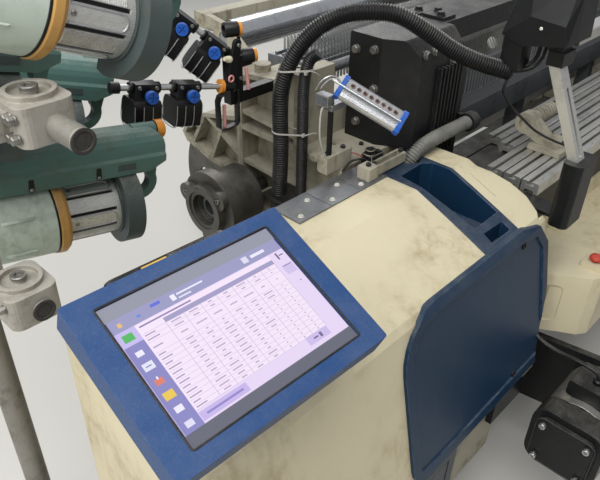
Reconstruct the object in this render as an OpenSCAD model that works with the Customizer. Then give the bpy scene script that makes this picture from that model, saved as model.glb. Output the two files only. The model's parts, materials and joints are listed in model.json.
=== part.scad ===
// Rapier power loom, seen mostly from its left front corner.
// X runs along the weft, +Y away from the weaver, +Z up.
// The origin is under the middle of the front left foot.

/* [Loom] */
// Working width between the ends of the reed
reed_w = 1900; // [1400:10:2600]
// Space between each side frame and the reed, taken by the rapier casing
end_gap = 170; // [165:5:260]
// Width of each cast side frame
frame_t = 300; // [280:5:340]
// Wall thickness of the castings
cast_wall = 14; // [10:1:16]
// Height of the levelling feet
foot_h = 60; // [40:5:100]

/* [Heights and places] */
// Height of the flat top of the side housings
housing_z = 1000; // [990:2:1030]
// Height of the table rails
table_z = 950; // [930:2:965]
// Place of the reed behind the front feet
reed_y = 430; // [420:1:436]
// Height of the rocking shaft of the sley
sley_z = 520; // [480:5:540]
// Distance from the front feet to the rear feet
foot_pitch = 850; // [835:5:880]
// Height of the whip roller
whip_z = 1100; // [1080:5:1120]
// Height of the warp beam
beam_z = 420; // [400:5:460]

/* [Rollers] */
// Diameter of the whip roller
whip_d = 110; // [80:2:120]
// Diameter of the take-up roller
take_up_d = 140; // [100:2:150]
// Diameter of the press roller
press_d = 70; // [50:2:76]
// Diameter of the empty cloth beam
cloth_d = 120; // [80:2:140]
// Diameter of the warp beam barrel
barrel_d = 150; // [120:2:200]
// Diameter of the warp beam flanges
flange_d = 640; // [560:10:680]
// Diameter of the roller journals
journal_d = 40; // [30:1:44]
// Radial clearance of a journal in its bore
journal_fit = 0.1; // [0.05:0.01:0.2]

/* [Left housing] */
// Length of the left housing outside the frame centre
housing_l = 950; // [900:10:1100]
// Wall thickness of the housings
housing_wall = 5; // [4:0.5:7]
// Width of the blue tray strip
tray_w = 160; // [150:2:164]
// Depth of the tray
tray_depth = 118; // [60:2:125]
// Thickness of the tray and the front panel
panel_t = 4; // [3:0.5:6]

/* [Terminal] */
// Width of the terminal
terminal_w = 384; // [370:2:410]
// Height of the terminal
terminal_h = 280; // [270:2:300]
// Depth of the terminal case
terminal_t = 46; // [40:1:60]
// Width of the glass
glass_w = 304; // [280:2:320]
// Height of the glass
glass_h = 226; // [210:2:236]
// Lean of the terminal back from level
terminal_lean = 24; // [20:1:34]
// Turn of the terminal about its post
terminal_turn = -2; // [-8:1:8]

/* [Yarn feeders] */
// Outer diameter of the winding ring
ring_d = 164; // [160:1:170]
// Diameter of the feeder drum
drum_d = 122; // [110:1:130]
// Length of the feeder drum
drum_l = 112; // [100:1:116]
// Number of fingers on the drum
fingers = 10; // [8:1:12]
// Height of the column of the feeder stand
stand_h = 1760; // [1740:10:1900]

/* [Table and shed] */
// Width of one table rail
rail_w = 50; // [44:1:52]
// Number of heald frames
healds = 6; // [4:2:6]
// Pitch of the heald frames
heald_pitch = 14; // [13:0.5:15]
// Height of the reed
reed_h = 126; // [110:1:130]
// Number of gaps in the reed
dents = 100; // [60:2:120]

/* [Hidden] */
$fn = 48;

// Gap where one fixed piece sits on another
seat = 0.3;
// Half the width of a side frame, so the inner face of the left one
half_t = frame_t / 2;
// Distance between the middles of the two side frames
pitch = reed_w + 2 * end_gap + frame_t;
// Inner face of the right side frame
far_x = pitch - half_t;
// Places of the whip roller and the warp beam
whip_y = foot_pitch + 300;
beam_y = foot_pitch + 380;
// Ends of the reed
reed_x0 = half_t + end_gap;
reed_x1 = reed_x0 + reed_w;

// Colours as the photograph shows them
cream = "#d6cba8";
casting = "#a39c86";
navy = "#22446b";
black = "#1b1c1e";
steel = "#b9bab6";
dark_steel = "#4c4a46";
teal = "#4a625c";
pale_green = "#a3b5a4";
ochre = "#c98f35";
bright_blue = "#1f5fc4";
orange = "#e0952b";
red = "#d5482f";

// Points of an arc, from angle a0 to a1
function arc(c, r, a0, a1, n = 6) =
  [for (i = [0:n]) c + r * [cos(a0 + (a1 - a0) * i / n), sin(a0 + (a1 - a0) * i / n)]];

// Rectangle with round corners, centred
function round_rect(w, h, r, n = 5) = concat(
  arc([w / 2 - r, h / 2 - r], r, 0, 90, n), arc([r - w / 2, h / 2 - r], r, 90, 180, n),
  arc([r - w / 2, r - h / 2], r, 180, 270, n), arc([w / 2 - r, r - h / 2], r, 270, 360, n));

function unit(v) = v / norm(v);
function inward(a, b) = let (d = unit(b - a)) [-d[1], d[0]];

// Outline moved inwards by t, for points that run anticlockwise
function inset(p, t) = let (n = len(p)) [for (i = [0:n - 1])
  let (n1 = inward(p[(i + n - 1) % n], p[i]), n2 = inward(p[i], p[(i + 1) % n]))
  p[i] + t * (n1 + n2) / (1 + n1 * n2)];

// Outline with every corner cut back by r and rounded
function soften(p, r, n = 3) = let (m = len(p)) [for (i = [0:m - 1])
  let (a = p[i] + r * unit(p[(i + m - 1) % m] - p[i]),
       b = p[i] + r * unit(p[(i + 1) % m] - p[i]))
  for (k = [0:n]) let (t = k / n) (1 - t) * (1 - t) * a + 2 * t * (1 - t) * p[i] + t * t * b];

// Solid from an outline of Y and Z, along X
module slab_x(p, x0, x1) {
  translate([x0, 0, 0])
    rotate([90, 0, 90])
      linear_extrude(x1 - x0)
        polygon(p);
}

// Solid from an outline of X and Z, along Y
module slab_y(p, y0, y1) {
  translate([0, y1, 0])
    rotate([90, 0, 0])
      linear_extrude(y1 - y0)
        polygon(p);
}

// Solid from an outline of X and Y, along Z
module slab_z(p, z0, z1) {
  translate([0, 0, z0])
    linear_extrude(z1 - z0)
      polygon(p);
}

// Box from its low corner to its high corner
module box(a, b) {
  translate(a)
    cube(b - a);
}

module rod_x(x0, x1, y, z, d) {
  translate([x0, y, z])
    rotate([0, 90, 0])
      cylinder(h = x1 - x0, d = d);
}

module rod_y(y0, y1, x, z, d) {
  translate([x, y0, z])
    rotate([-90, 0, 0])
      cylinder(h = y1 - y0, d = d);
}

module rod_z(z0, z1, x, y, d) {
  translate([x, y, z0])
    cylinder(h = z1 - z0, d = d);
}

// Mirror image on the right side of the loom
module at_right() {
  translate([pitch, 0, 0])
    mirror([1, 0, 0])
      children();
}

// Left piece and its mirror image
module both_sides() {
  children();
  at_right() children();
}

// Side housing: outline in Y and Z
crease_y = 155;
housing_back = 310;
housing_front = -60;
housing_foot = [-165, 470];
slope_drop = 93;
function housing_outline(t = 0) = inset(concat(
  [housing_foot, [housing_back, housing_foot[1]]],
  arc([housing_back - 8, housing_z - 8], 8, 0, 90, 3),
  [[crease_y, housing_z]],
  [for (k = [1:3]) [crease_y + (housing_front - crease_y) * k / 3,
    housing_z - slope_drop * (k / 3) * (0.94 + 0.06 * k / 3)]],
  [[housing_front - 12, housing_z - slope_drop - 16]]), t);

// Height of the housing top at a given Y
function top_z(y) = y >= crease_y ? housing_z :
  housing_z - slope_drop * (crease_y - y) / (crease_y - housing_front);

// Side housing: outline in X and Y, rounded at the front corner
function plan_outline(x0, x1, r, t = 0) = inset(concat(
  arc([x0 + r, housing_foot[0] + r], r, 180, 270, 6),
  [[x1, housing_foot[0]], [x1, housing_back], [x0, housing_back]]), t);

// Side frame
ledge_y = 340;
ledge_z = 1010;
upright_y0 = 500;
upright_y1 = 735;
upright_z = 1212;
upright_x1 = -10;
frame_top = 850;
plate_z = housing_z - 15;
frame_front = -90;
frame_rear = foot_pitch + 110;
function frame_outline() = [
  [frame_front, foot_h], [60, foot_h], [115, 190], [640, 190], [720, foot_h],
  [frame_rear, foot_h], [frame_rear, 420], [830, 690], [upright_y1, 760],
  [upright_y1, ledge_z], [ledge_y, ledge_z], [ledge_y, plate_z],
  [housing_back + 4, plate_z], [housing_back + 4, frame_top], [-45, frame_top],
  [frame_front, 760]];
function upright_outline() = [
  [upright_y0, ledge_z - cast_wall], [upright_y1, ledge_z - cast_wall],
  [upright_y1, upright_z - 70], [upright_y1 - 45, upright_z - 44],
  [upright_y0 + 90, upright_z - 34], [upright_y0 + 40, upright_z], [upright_y0, upright_z]];
function arm_outline() = [
  [upright_y1 - 4, 826], [769, 828], [883, 838], [990, 868], [1010, 896],
  [985, 934], [895, 992], [upright_y1 - 4, 1030]];

module frame_casting() {
  difference() {
    union() {
      // Rim all round, the full width of the frame
      difference() {
        slab_x(frame_outline(), -half_t, half_t);
        slab_x(inset(frame_outline(), cast_wall), -half_t - 1, half_t + 1);
      }
      // Outer web, set back behind the rim so that the ribs stand proud
      slab_x(inset(frame_outline(), 1), -half_t + web_back, -half_t + web_back + cast_wall);
      // Inner web
      slab_x(inset(frame_outline(), 1), half_t - cast_wall, half_t);
      frame_ribs();
      upright();
      rear_arm();
      housing_lugs();
    }
    for (j = journals)
      rod_x(half_t - cast_wall - 1, half_t + 1, j[0], j[1], journal_d + 2 * journal_fit);
    // Oval cable hole and the cored holes of the outer web
    for (j = [pulley_c, coupling_c])
      rod_x(-half_t + web_back - 1, -half_t + web_back + cast_wall + 1, j[0], j[1],
        journal_d + 2 * journal_fit);
    rod_x(-half_t - 1, -half_t + web_back - 1, coupling_c[0], coupling_c[1], journal_d + 2);
    for (h = web_holes)
      rod_x(-half_t - 1, -half_t + web_back + cast_wall + 1, h[0], h[1], h[2]);
    for (h = [[-110, 420], [-54, 452], [-4, 398]])
      rod_z(ledge_z - cast_wall - 1, ledge_z + 1, h[0], h[1], 13);
  }
}

take_up_y = 95;
take_up_z = 640;
press_y = -16;
press_z = take_up_z;
cloth_y = 20;
cloth_z = 400;
sley_y = reed_y - 10;
pulley_c = [-24, 330];
coupling_c = [700, 805];
web_back = 62;
rib_levels = [888, 745];
web_holes = [[452, 950, 40], [640, 700, 44], [420, 560, 120], [250, 330, 150],
  [600, 330, 110], [60, 560, 130]];
journals = [[take_up_y, take_up_z], [press_y, press_z], [cloth_y, cloth_z],
  [sley_y, sley_z]];

// Upright over the ledge: an open box with a slanting front flange
module upright() {
  difference() {
    slab_x(upright_outline(), -half_t, upright_x1);
    slab_x(inset(upright_outline(), cast_wall), -half_t - 1, upright_x1 + 1);
  }
  slab_x(inset(upright_outline(), 1), -half_t + web_back, -half_t + web_back + cast_wall);
  slab_x(inset(upright_outline(), 1), upright_x1 - 12, upright_x1);
  slab_x([[upright_y0 + 1, 1028], [upright_y1 - 6, 1044], [upright_y1 - 6, 1056],
    [upright_y0 + 1, 1040]], -half_t + 4, -half_t + web_back + 2);
  slab_y([[-half_t, ledge_z - 2], [64, ledge_z - 2], [64, ledge_z + 52],
    [-half_t + 34, upright_z], [-half_t, upright_z]], upright_y0, upright_y0 + cast_wall);
  rod_z(upright_z - 50, upright_z - 20, -half_t + 42, upright_y1 - 60, 46);
}

// Horizontal ledges and gussets on the outer face of the frame
module frame_ribs() {
  for (z = rib_levels)
    slab_x([[ledge_y + 1, z - 14], [upright_y1 - 6, z], [upright_y1 - 6, z + 12],
      [ledge_y + 1, z - 2]], -half_t + 4, -half_t + web_back + 2);
  slab_x([[500, 190], [512, 190], [512, 874], [500, 874]],
    -half_t + 20, -half_t + web_back + 2);
  slab_x([[upright_y1 - 12, 745], [upright_y1 - 12, 765], [560, 885], [545, 885]],
    -half_t + 4, -half_t + web_back + 2);
  slab_x([[100, 180], [114, 180], [500, 640], [500, 655]],
    -half_t + 20, -half_t + web_back + 2);
  slab_x([[512, 655], [512, 640], [690, 180], [704, 180]],
    -half_t + 20, -half_t + web_back + 2);
}

// Rear arm: a rim, a thin web and crossing ribs
module rear_arm() {
  difference() {
    slab_x(arm_outline(), -half_t, half_t);
    slab_x(inset(arm_outline(), 13), -half_t - 1, half_t + 1);
  }
  slab_x(inset(arm_outline(), 1), -half_t + 48, -half_t + 58);
  slab_x(inset(arm_outline(), 1), half_t - cast_wall, half_t);
  intersection() {
    slab_x(inset(arm_outline(), 2), -half_t + 3, -half_t + 50);
    union() {
      slab_x([[730, 905], [742, 898], [905, 985], [893, 992]], -half_t, 0);
      slab_x([[800, 1020], [788, 1014], [872, 835], [884, 841]], -half_t, 0);
      slab_x([[900, 992], [888, 988], [960, 865], [972, 870]], -half_t, 0);
    }
  }
}

// Lugs under the flat top of the housing
module housing_lugs() {
  for (x = [-half_t + 15, half_t - 15])
    box([x - 14, housing_back - 60, frame_top - 4],
      [x + 14, housing_back - 20, housing_z - housing_wall - seat]);
}

module side_frame_left() {
  color(casting)
    frame_casting();
}

module side_frame_right() {
  color(casting)
    at_right()
      frame_casting();
}

// Levelling feet: a pad, a stem and a lock nut each
foot_pad_d = 120;
module leveling_foot(x, y) {
  rod_z(0, 18, x, y, foot_pad_d);
  rod_z(18, foot_h, x, y, 30);
  translate([x, y, foot_h - 22])
    cylinder(h = 16, d = 56, $fn = 6);
}

module leveling_feet() {
  color(dark_steel)
    both_sides() {
      leveling_foot(0, 0);
      leveling_foot(0, foot_pitch);
    }
}

// Girders that tie the two side frames together
girder_wall = 8;
module girder(y0, y1, z0, z1, x0 = half_t + seat, x1 = far_x - seat) {
  difference() {
    box([x0, y0, z0], [x1, y1, z1]);
    box([x0 - 1, y0 + girder_wall, z0 + girder_wall],
      [x1 + 1, y1 - girder_wall, z1 - girder_wall]);
  }
}

casing_x1 = half_t + end_gap - 20;
casing_z = 1236;
module cross_girders() {
  color(black) {
    girder(160, 270, 200, 340);
    girder(780, 890, 210, 360);
    top_beam();
    heald_guides();
  }
}

// Upper guide beam over the reed, carried by the two rapier casings
module top_beam() {
  x0 = casing_step + seat;
  x1 = pitch - x0;
  girder(352, 500, casing_z + seat, casing_z + 60, x0, x1);
  for (x = [x0 + 6, x1 - 66]) {
    box([x, 362, casing_z + 60], [x + 60, 430, casing_z + 70]);
    box([x, 440, casing_z + 60], [x + 60, 490, casing_z + 66]);
  }
}

// Rapier casings: a cast box on the ledge, with fins, a step and bolts
casing_x0 = 20;
casing_y0 = 285;
casing_y1 = 478;
casing_step = half_t + 114;
module rapier_casing() {
  side = soften([[casing_y0, 890], [casing_y1, 890], [casing_y1, casing_z + 64],
    [casing_y0 + 40, casing_z + 64], [casing_y0, casing_z + 20]], 10);
  face = [[casing_x0, ledge_z + seat], [half_t + seat, ledge_z + seat], [half_t + seat, 900],
    [casing_x1, 900], [casing_x1, casing_z], [casing_step, casing_z],
    [casing_step, casing_z + 62], [casing_x0, casing_z + 62]];
  plan = [[casing_x0, casing_y1], [casing_x0, casing_y0 + 90], [casing_x0 + 50, casing_y0],
    [casing_x1, casing_y0], [casing_x1, casing_y1]];
  difference() {
    intersection() {
      slab_y(face, casing_y0, casing_y1);
      slab_x(side, casing_x0, casing_x1);
      slab_z([for (k = [0:4]) plan[4 - k]], 880, casing_z + 80);
    }
    // Mouth through which the rapier runs
    box([casing_x1 - 110, 405, 1012], [casing_x1 + 1, 455, 1062]);
  }
  for (i = [0:6])
    box([half_t + 2 + i * 17, casing_y0 - 12, 960], [half_t + 8 + i * 17, casing_y0 + 2, 1215]);
  for (p = [[455, 1255], [396, 1266], [388, 1165], [440, 1060]])
    rod_x(casing_x0 - 7, casing_x0 + 1, p[0], p[1], 17);
  for (p = [[215, 1225], [90, 1262], [130, 1262]])
    rod_y(casing_y0 - 8, casing_y0 + 40, p[0], p[1], 17);
  // Socket of the grey conduit
  difference() {
    union() {
      rod_x(284, 316, grey_end[0], grey_end[1], 54);
      box([286, grey_end[0] + 14, 1016], [casing_x1, casing_y0 + 2, 1052]);
    }
    rod_x(283, 304, grey_end[0], grey_end[1], 41);
  }
}

module rapier_casings() {
  color(black)
    both_sides()
      rapier_casing();
}

// Breast beam under the table rails
beam_y0 = 20;
beam_y1 = 240;
rail_h = 34;
breast_top = table_z - rail_h - seat;
module breast_beam() {
  color(dark_steel)
    girder(beam_y0, beam_y1, 760, breast_top);
}

// Table rail: extruded section with a slot along its top and feet below
function rail_section(y) = [
  [y, table_z - rail_h], [y + 10, table_z - rail_h], [y + 13, table_z - rail_h + 8],
  [y + rail_w - 13, table_z - rail_h + 8], [y + rail_w - 10, table_z - rail_h],
  [y + rail_w, table_z - rail_h], [y + rail_w, table_z - 3],
  [y + rail_w - 3, table_z], [y + rail_w / 2 + 5, table_z],
  [y + rail_w / 2 + 5, table_z - 5], [y + rail_w / 2 + 11, table_z - 5],
  [y + rail_w / 2 + 11, table_z - 12], [y + rail_w / 2 - 11, table_z - 12],
  [y + rail_w / 2 - 11, table_z - 5], [y + rail_w / 2 - 5, table_z - 5],
  [y + rail_w / 2 - 5, table_z], [y + 3, table_z], [y, table_z - 3]];
rail_starts = [250, 250, 250, 420, 440];
module table_rails() {
  color(steel)
    for (i = [0:4])
      difference() {
        slab_x(rail_section(-12 + i * (rail_w + 4)), rail_starts[i], pitch - rail_starts[i]);
        for (k = [0:11])
          rod_z(table_z - 4, table_z + 1, rail_starts[i] + 40 + k * reed_w / 12,
            -12 + i * (rail_w + 4) + 8, 6);
      }
}

// Left housing: one moulded shell, open below and where the frame enters
tray_x1 = 75;
tray_x0 = tray_x1 - tray_w;
module housing_body(x0, x1, r) {
  difference() {
    intersection() {
      slab_x(housing_outline(), x0, x1);
      slab_z(plan_outline(x0, x1, r), 400, 1200);
    }
    intersection() {
      slab_x(housing_outline(housing_wall), x0 - 1, x1 + 1);
      slab_z(plan_outline(x0, x1 + 2 * housing_wall, r, housing_wall), 400, 1200);
    }
    // Open underside
    box([x0 + housing_wall, housing_foot[0] + 12, housing_foot[1] - 1],
      [x1 + 1, housing_back - housing_wall, housing_foot[1] + housing_wall + 1]);
  }
}

module housing_left() {
  color(cream)
    difference() {
      housing_body(-housing_l, tray_x0 - seat, 40);
      // Way in for the side frame
      box([-half_t - 8, housing_back - housing_wall - 2, 400],
        [tray_x0 + 1, housing_back + 1, plate_z + 9]);
      // Way through for the terminal post
      rod_z(700, 1100, terminal_c[0], post_y, post_d + 2 * seat);
    }
}

// Right housing, finished plainly, with the same outline
module housing_right() {
  color(cream)
    at_right()
      difference() {
        housing_body(-housing_l, inner_x1, 40);
        box([-half_t - 8, housing_back - housing_wall - 2, 400],
          [inner_x1 + 1, housing_back + 1, plate_z + 9]);
        inner_cover_cuts();
        // Clear of the rapier casing and the foot of the lamp frame
        box([half_t, casing_y0 - 14, 880], [inner_x1 + 2, housing_back + 2, housing_z + 1]);
        box([leg_x - 43, leg_foot[0] - 33, 894], [inner_x1 + 2, beam_y0 + 1, housing_z]);
      }
}

// Openings for the breast beam, the rails and the casing
inner_x1 = 200;
module inner_cover_cuts() {
  box([half_t - 20, beam_y0 - 10, 745], [inner_x1 + 2, beam_y1 + 10, table_z - 18]);
  box([half_t - 20, housing_back - 32, 880], [inner_x1 + 2, housing_back + 2, plate_z + 9]);
  box([half_t - 2, -70, 465], [inner_x1 + 2, 215, 745]);
}

// Inner cover: cream strip right of the tray, flared towards its front
function inner_plan(t = 0) = inset([
  [tray_x1 + seat, -75], [150, -75], [182, -48], [inner_x1, -5], [inner_x1 - 2, 45],
  [178, 95], [154, 128], [149, housing_back], [tray_x1 + seat, housing_back]], t);
function front_plan(t = 0) = inset([
  [tray_x1 + seat, -170], [128, -170], [196, -118], [inner_x1, -5], [196, 60],
  [tray_x1 + seat, 60]], t);

module inner_cover() {
  color(cream)
    difference() {
      intersection() {
        difference() {
          slab_x(housing_outline(), tray_x1 + seat, inner_x1);
          slab_x(housing_outline(housing_wall), tray_x1 - 1, inner_x1 + 1);
          box([0, housing_foot[0] + 12, housing_foot[1] - 1],
            [300, housing_back - housing_wall, housing_foot[1] + housing_wall + 1]);
        }
        union() {
          slab_z(inner_plan(), 400, 1200);
          slab_z(front_plan(), 400, 900);
        }
      }
      box([half_t - 20, housing_back - 32, 400], [inner_x1 + 2, housing_back + 2, plate_z + 9]);
      box([tray_x1 - 1, housing_back - housing_wall - 2, 400],
        [inner_x1 + 2, housing_back + 2, plate_z + 9]);
      // Groove along the strip
      translate([108, 0, 0])
        slab_x(soften([[40, top_z(40) - 2], [120, top_z(120) - 2], [120, 1100], [40, 1100]], 2),
          0, 3);
    }
}

// Blue tray strip: a rim that follows the housing, a tub and a grip hole
tub = [[-43, 4], [64, 6], [64, 158], [62, 207], [40, 228], [-57, 224], [-67, 156]];
grip = [[-38, -44], [48, -44], [50, -18], [-34, -16]];
grip_depth = 46;
module tray_insert() {
  x0 = tray_x0 + seat;
  x1 = tray_x1 - seat;
  tub_z = housing_z - tray_depth;
  color(navy)
    difference() {
      union() {
        intersection() {
          difference() {
            slab_x(housing_outline(-0.5), x0, x1);
            slab_x(housing_outline(panel_t), x0 - 1, x1 + 1);
          }
          box([x0, housing_front + 6, frame_top + 3], [x1, housing_back, housing_z + 10]);
        }
        intersection() {
          slab_x(housing_outline(), x0, x1);
          slab_z(inset(tub, -panel_t), tub_z, housing_z + 5);
        }
        intersection() {
          slab_x(housing_outline(), x0, x1);
          slab_z(inset(grip, -3), top_z(-30) - grip_depth, housing_z + 5);
        }
      }
      slab_z(tub, tub_z + panel_t, housing_z + 20);
      // Way out for the grey conduit
      rod_z(housing_z - 40, housing_z + 20, 39, 263, 54);
      slab_z(grip, top_z(-30) - grip_depth + 3, housing_z + 20);
    }
}

// Blue front panel: a raised border round a shallow field
panel_x0 = -442;
panel_x1 = 194;
panel_rise = 9;
function panel_outline(t = 0) = inset(concat(
  [[panel_x1, 492], [panel_x1, 836], [150, 896], [tray_x1, 912]],
  arc([panel_x0 + 120, 792], 120, 90, 180, 6),
  arc([panel_x0 + 52, 535], 52, 180, 270, 5)), t);
module front_skin(t0, t1) {
  difference() {
    slab_x(housing_outline(t1), panel_x0 - 2, panel_x1 + 2);
    slab_x(housing_outline(t0), panel_x0 - 3, panel_x1 + 3);
  }
}

module front_panel() {
  color(navy)
    difference() {
      intersection() {
        front_skin(-seat, -panel_rise);
        slab_y(panel_outline(), -300, housing_front + 5);
        slab_z([[panel_x0 - 1, -220], [132, -220], [132, -166], [panel_x1, -124],
          [panel_x1, 0], [panel_x0 - 1, 0]], 400, housing_z);
      }
      intersection() {
        front_skin(-panel_t, -panel_rise - 12);
        slab_y(inset(panel_outline(), 26), -300, housing_front);
      }
      // Lock hole and fixing hole
      for (p = [[70, 872], [16, 520]])
        rod_y(-300, 0, p[0], p[1], 9);
    }
}

// Cream front cover between the housings: a shelf with a swept left end,
// recessed windows and the box of the stop button
cover_x0 = inner_x1 + 6;
cover_z = 700;
cover_foot_z = 496;
cover_wall = 8;
button_c = [385, -174];
function cover_end() = [[cover_x0, 24], [cover_x0, -62], [248, -94], [264, -116],
  [294, -162], [316, -202], [346, -222]];
function cover_plan(t = 0) = let (e = cover_end()) inset(concat(e,
  [for (i = [1:len(e)]) [pitch - e[len(e) - i][0], e[len(e) - i][1]]]), t);
module front_cover() {
  n = 7;
  step = (pitch - 2 * 380) / n;
  color(cream)
    difference() {
      union() {
        difference() {
          slab_z(cover_plan(), cover_foot_z, cover_z);
          slab_z(cover_plan(cover_wall), cover_foot_z - 1, cover_z - cover_wall);
          box([0, 8, cover_foot_z - 1], [pitch, 30, cover_z - cover_wall]);
          // Notches in the ends for the press roller
          both_sides()
            box([cover_x0 - 1, press_y - 42, press_z - 42],
              [cover_x0 + cover_wall + 1, 30, press_z + 42]);
        }
        // Riser to the underside of the breast beam
        box([cover_x0 + 20, beam_y0 - 6, cover_z - 1], [pitch - cover_x0 - 20, beam_y0 + 2, 760 - seat]);
        box([cover_x0 + 20, beam_y0 - 6, 752], [pitch - cover_x0 - 20, beam_y0 + 16, 760 - seat]);
        box([button_c[0] - 30, button_c[1] - 30, cover_z - 1],
          [button_c[0] + 30, button_c[1] + 30, cover_z + 14]);
      }
      for (i = [0:n - 1])
        translate([380 + step * (i + 0.5), 0, 598])
          slab_y(round_rect(step - 46, 130, 28), -223, -217);
      // Window in the swept end
      translate([264, -116, 598])
        rotate([0, 0, -60.6])
          slab_y(round_rect(62, 126, 20), -1, 4);
      rod_z(cover_z - 4, cover_z + 20, button_c[0], button_c[1], 18 + 2 * seat);
    }
}

// Electric cabinet that carries the outer end of the left housing
cabinet_z = housing_foot[1] - seat;
module control_cabinet() {
  color(dark_steel)
    both_sides()
      difference() {
        union() {
          box([-housing_l + 20, housing_foot[0] + 5, 40], [-half_t - 90, housing_back - 2, cabinet_z]);
          for (x = [-housing_l + 60, -half_t - 140], y = [-100, 240])
            rod_z(0, 41, x, y, 50);
        }
        // Door recess
        box([-housing_l + 50, housing_foot[0] + 4, 90],
          [-half_t - 120, housing_foot[0] + 10, cabinet_z - 40]);
      }
}

// Steel guard plates along the back of the left housing, with their screws
plate_y0 = 245;
plate_y1 = 332;
module guard_plates() {
  color(steel)
    for (x = [[-405, -299], [-297, -192], [-190, tray_x0 - 3]]) {
      box([x[0], plate_y0, housing_z + seat], [x[1], plate_y1, housing_z + seat + 4]);
      for (p = [[x[0] + 22, plate_y0 + 18], [x[1] - 22, plate_y1 - 30]])
        rod_z(housing_z + 4, housing_z + 7, p[0], p[1], 13);
    }
}

// Rear brackets: whip roller arms, back beam and warp beam bearings
bearing_t = 24;
module whip_arm() {
  difference() {
    slab_x(concat([[800, 850], [960, 878]],
      arc([whip_y, whip_z], 52, -60, 20, 5),
      [[whip_y + 150, whip_z + 10], [whip_y + 150, whip_z + 66], [whip_y + 60, whip_z + 60]],
      arc([whip_y, whip_z], 52, 80, 120, 3), [[900, 985], [800, 990]]),
      half_t + seat, half_t + bearing_t);
    rod_x(half_t - 1, half_t + bearing_t + 1, whip_y, whip_z, journal_d + 2 * journal_fit);
  }
}

module beam_arm() {
  difference() {
    slab_x(concat([[894, 240]], [[beam_y - 60, beam_z - 130]],
      arc([beam_y, beam_z], 80, -60, 100, 8), [[960, beam_z + 60], [894, beam_z + 60]]),
      half_t + seat, half_t + bearing_t);
    rod_x(half_t - 1, half_t + bearing_t + 1, beam_y, beam_z, journal_d + 2 * journal_fit);
  }
}

module rear_brackets() {
  color(casting)
    both_sides() {
      whip_arm();
      beam_arm();
    }
  color(steel)
    translate([0, 0, 0])
      girder(whip_y + 84, whip_y + 144, whip_z + 2, whip_z + 62,
        half_t + bearing_t + seat, far_x - bearing_t - seat);
}

// Plain roller with a journal at each end
module roller(y, z, d, x0, x1, j0) {
  rod_x(x0, x1, y, z, d);
  rod_x(j0, x0 + 1, y, z, journal_d);
  rod_x(x1 - 1, pitch - j0, y, z, journal_d);
}

whip_x0 = half_t + bearing_t + 14;
module whip_roller() {
  color(steel)
    roller(whip_y, whip_z, whip_d, whip_x0, pitch - whip_x0, half_t + 4);
}

front_roller_x0 = half_t + 8;
journal_x0 = half_t - cast_wall + 2;

module take_up_roller() {
  color(dark_steel)
    roller(take_up_y, take_up_z, take_up_d, front_roller_x0, pitch - front_roller_x0, journal_x0);
}

module press_roller() {
  color(dark_steel)
    roller(press_y, press_z, press_d, front_roller_x0, pitch - front_roller_x0, journal_x0);
}

module cloth_beam() {
  color(steel) {
    roller(cloth_y, cloth_z, cloth_d, front_roller_x0 + 40, pitch - front_roller_x0 - 40,
      journal_x0);
    both_sides()
      rod_x(front_roller_x0 + 6, front_roller_x0 + 22, cloth_y, cloth_z, cloth_d + 50);
  }
}

// Warp beam: barrel, ribbed flanges and journals
flange_x = half_t + bearing_t + 80;
module warp_beam() {
  color(steel) {
    roller(beam_y, beam_z, barrel_d, flange_x, pitch - flange_x, half_t + 4);
    both_sides() {
      difference() {
        rod_x(flange_x, flange_x + 14, beam_y, beam_z, flange_d);
        for (a = [0:45:315])
          translate([flange_x - 1, beam_y, beam_z])
            rotate([a, 0, 0])
              rod_x(0, 16, flange_d * 0.32, 0, 70);
      }
      rod_x(flange_x - 24, flange_x + 1, beam_y, beam_z, barrel_d + 60);
    }
  }
}

// Sley: rocking shaft, swords and the beam that carries the reed
sword_xs = [reed_x0 + 120, reed_x0 + reed_w / 3, reed_x0 + 2 * reed_w / 3, reed_x1 - 160];
race_z = 985;
module sley() {
  color(dark_steel) {
    rod_x(front_roller_x0 + 40, pitch - front_roller_x0 - 40, sley_y, sley_z, 70);
    both_sides()
      rod_x(journal_x0, front_roller_x0 + 41, sley_y, sley_z, journal_d);
    for (x = sword_xs)
      slab_x([[sley_y - 32, sley_z], [sley_y + 32, sley_z], [reed_y + 22, race_z - 88],
        [reed_y - 26, race_z - 88]], x, x + 40);
  }
  color(steel)
    slab_x([[reed_y - 52, race_z - 90], [reed_y + 28, race_z - 90], [reed_y + 28, race_z + 22],
      [reed_y + 8 + seat, race_z + 22], [reed_y + 8 + seat, race_z - 20],
      [reed_y - 8 - seat, race_z - 20], [reed_y - 8 - seat, race_z],
      [reed_y - 52, race_z - 6]], reed_x0, reed_x1);
}

// Reed: two baulks, end posts and the flat wires between them
reed_z0 = race_z - 20 + seat;
module reed() {
  step = (reed_w - 40) / dents;
  wire = step / 3;
  color(steel) {
    box([reed_x0, reed_y - 8, reed_z0], [reed_x1, reed_y + 8, reed_z0 + 24]);
    box([reed_x0, reed_y - 8, reed_z0 + reed_h - 14], [reed_x1, reed_y + 8, reed_z0 + reed_h]);
    for (i = [0:dents])
      translate([reed_x0 + 20 + i * step - wire / 2, reed_y - 5, reed_z0 + 23])
        cube([wire, 10, reed_h - 36]);
    box([reed_x0, reed_y - 8, reed_z0], [reed_x0 + 14, reed_y + 8, reed_z0 + reed_h]);
    box([reed_x1 - 14, reed_y - 8, reed_z0], [reed_x1, reed_y + 8, reed_z0 + reed_h]);
  }
}

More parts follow.
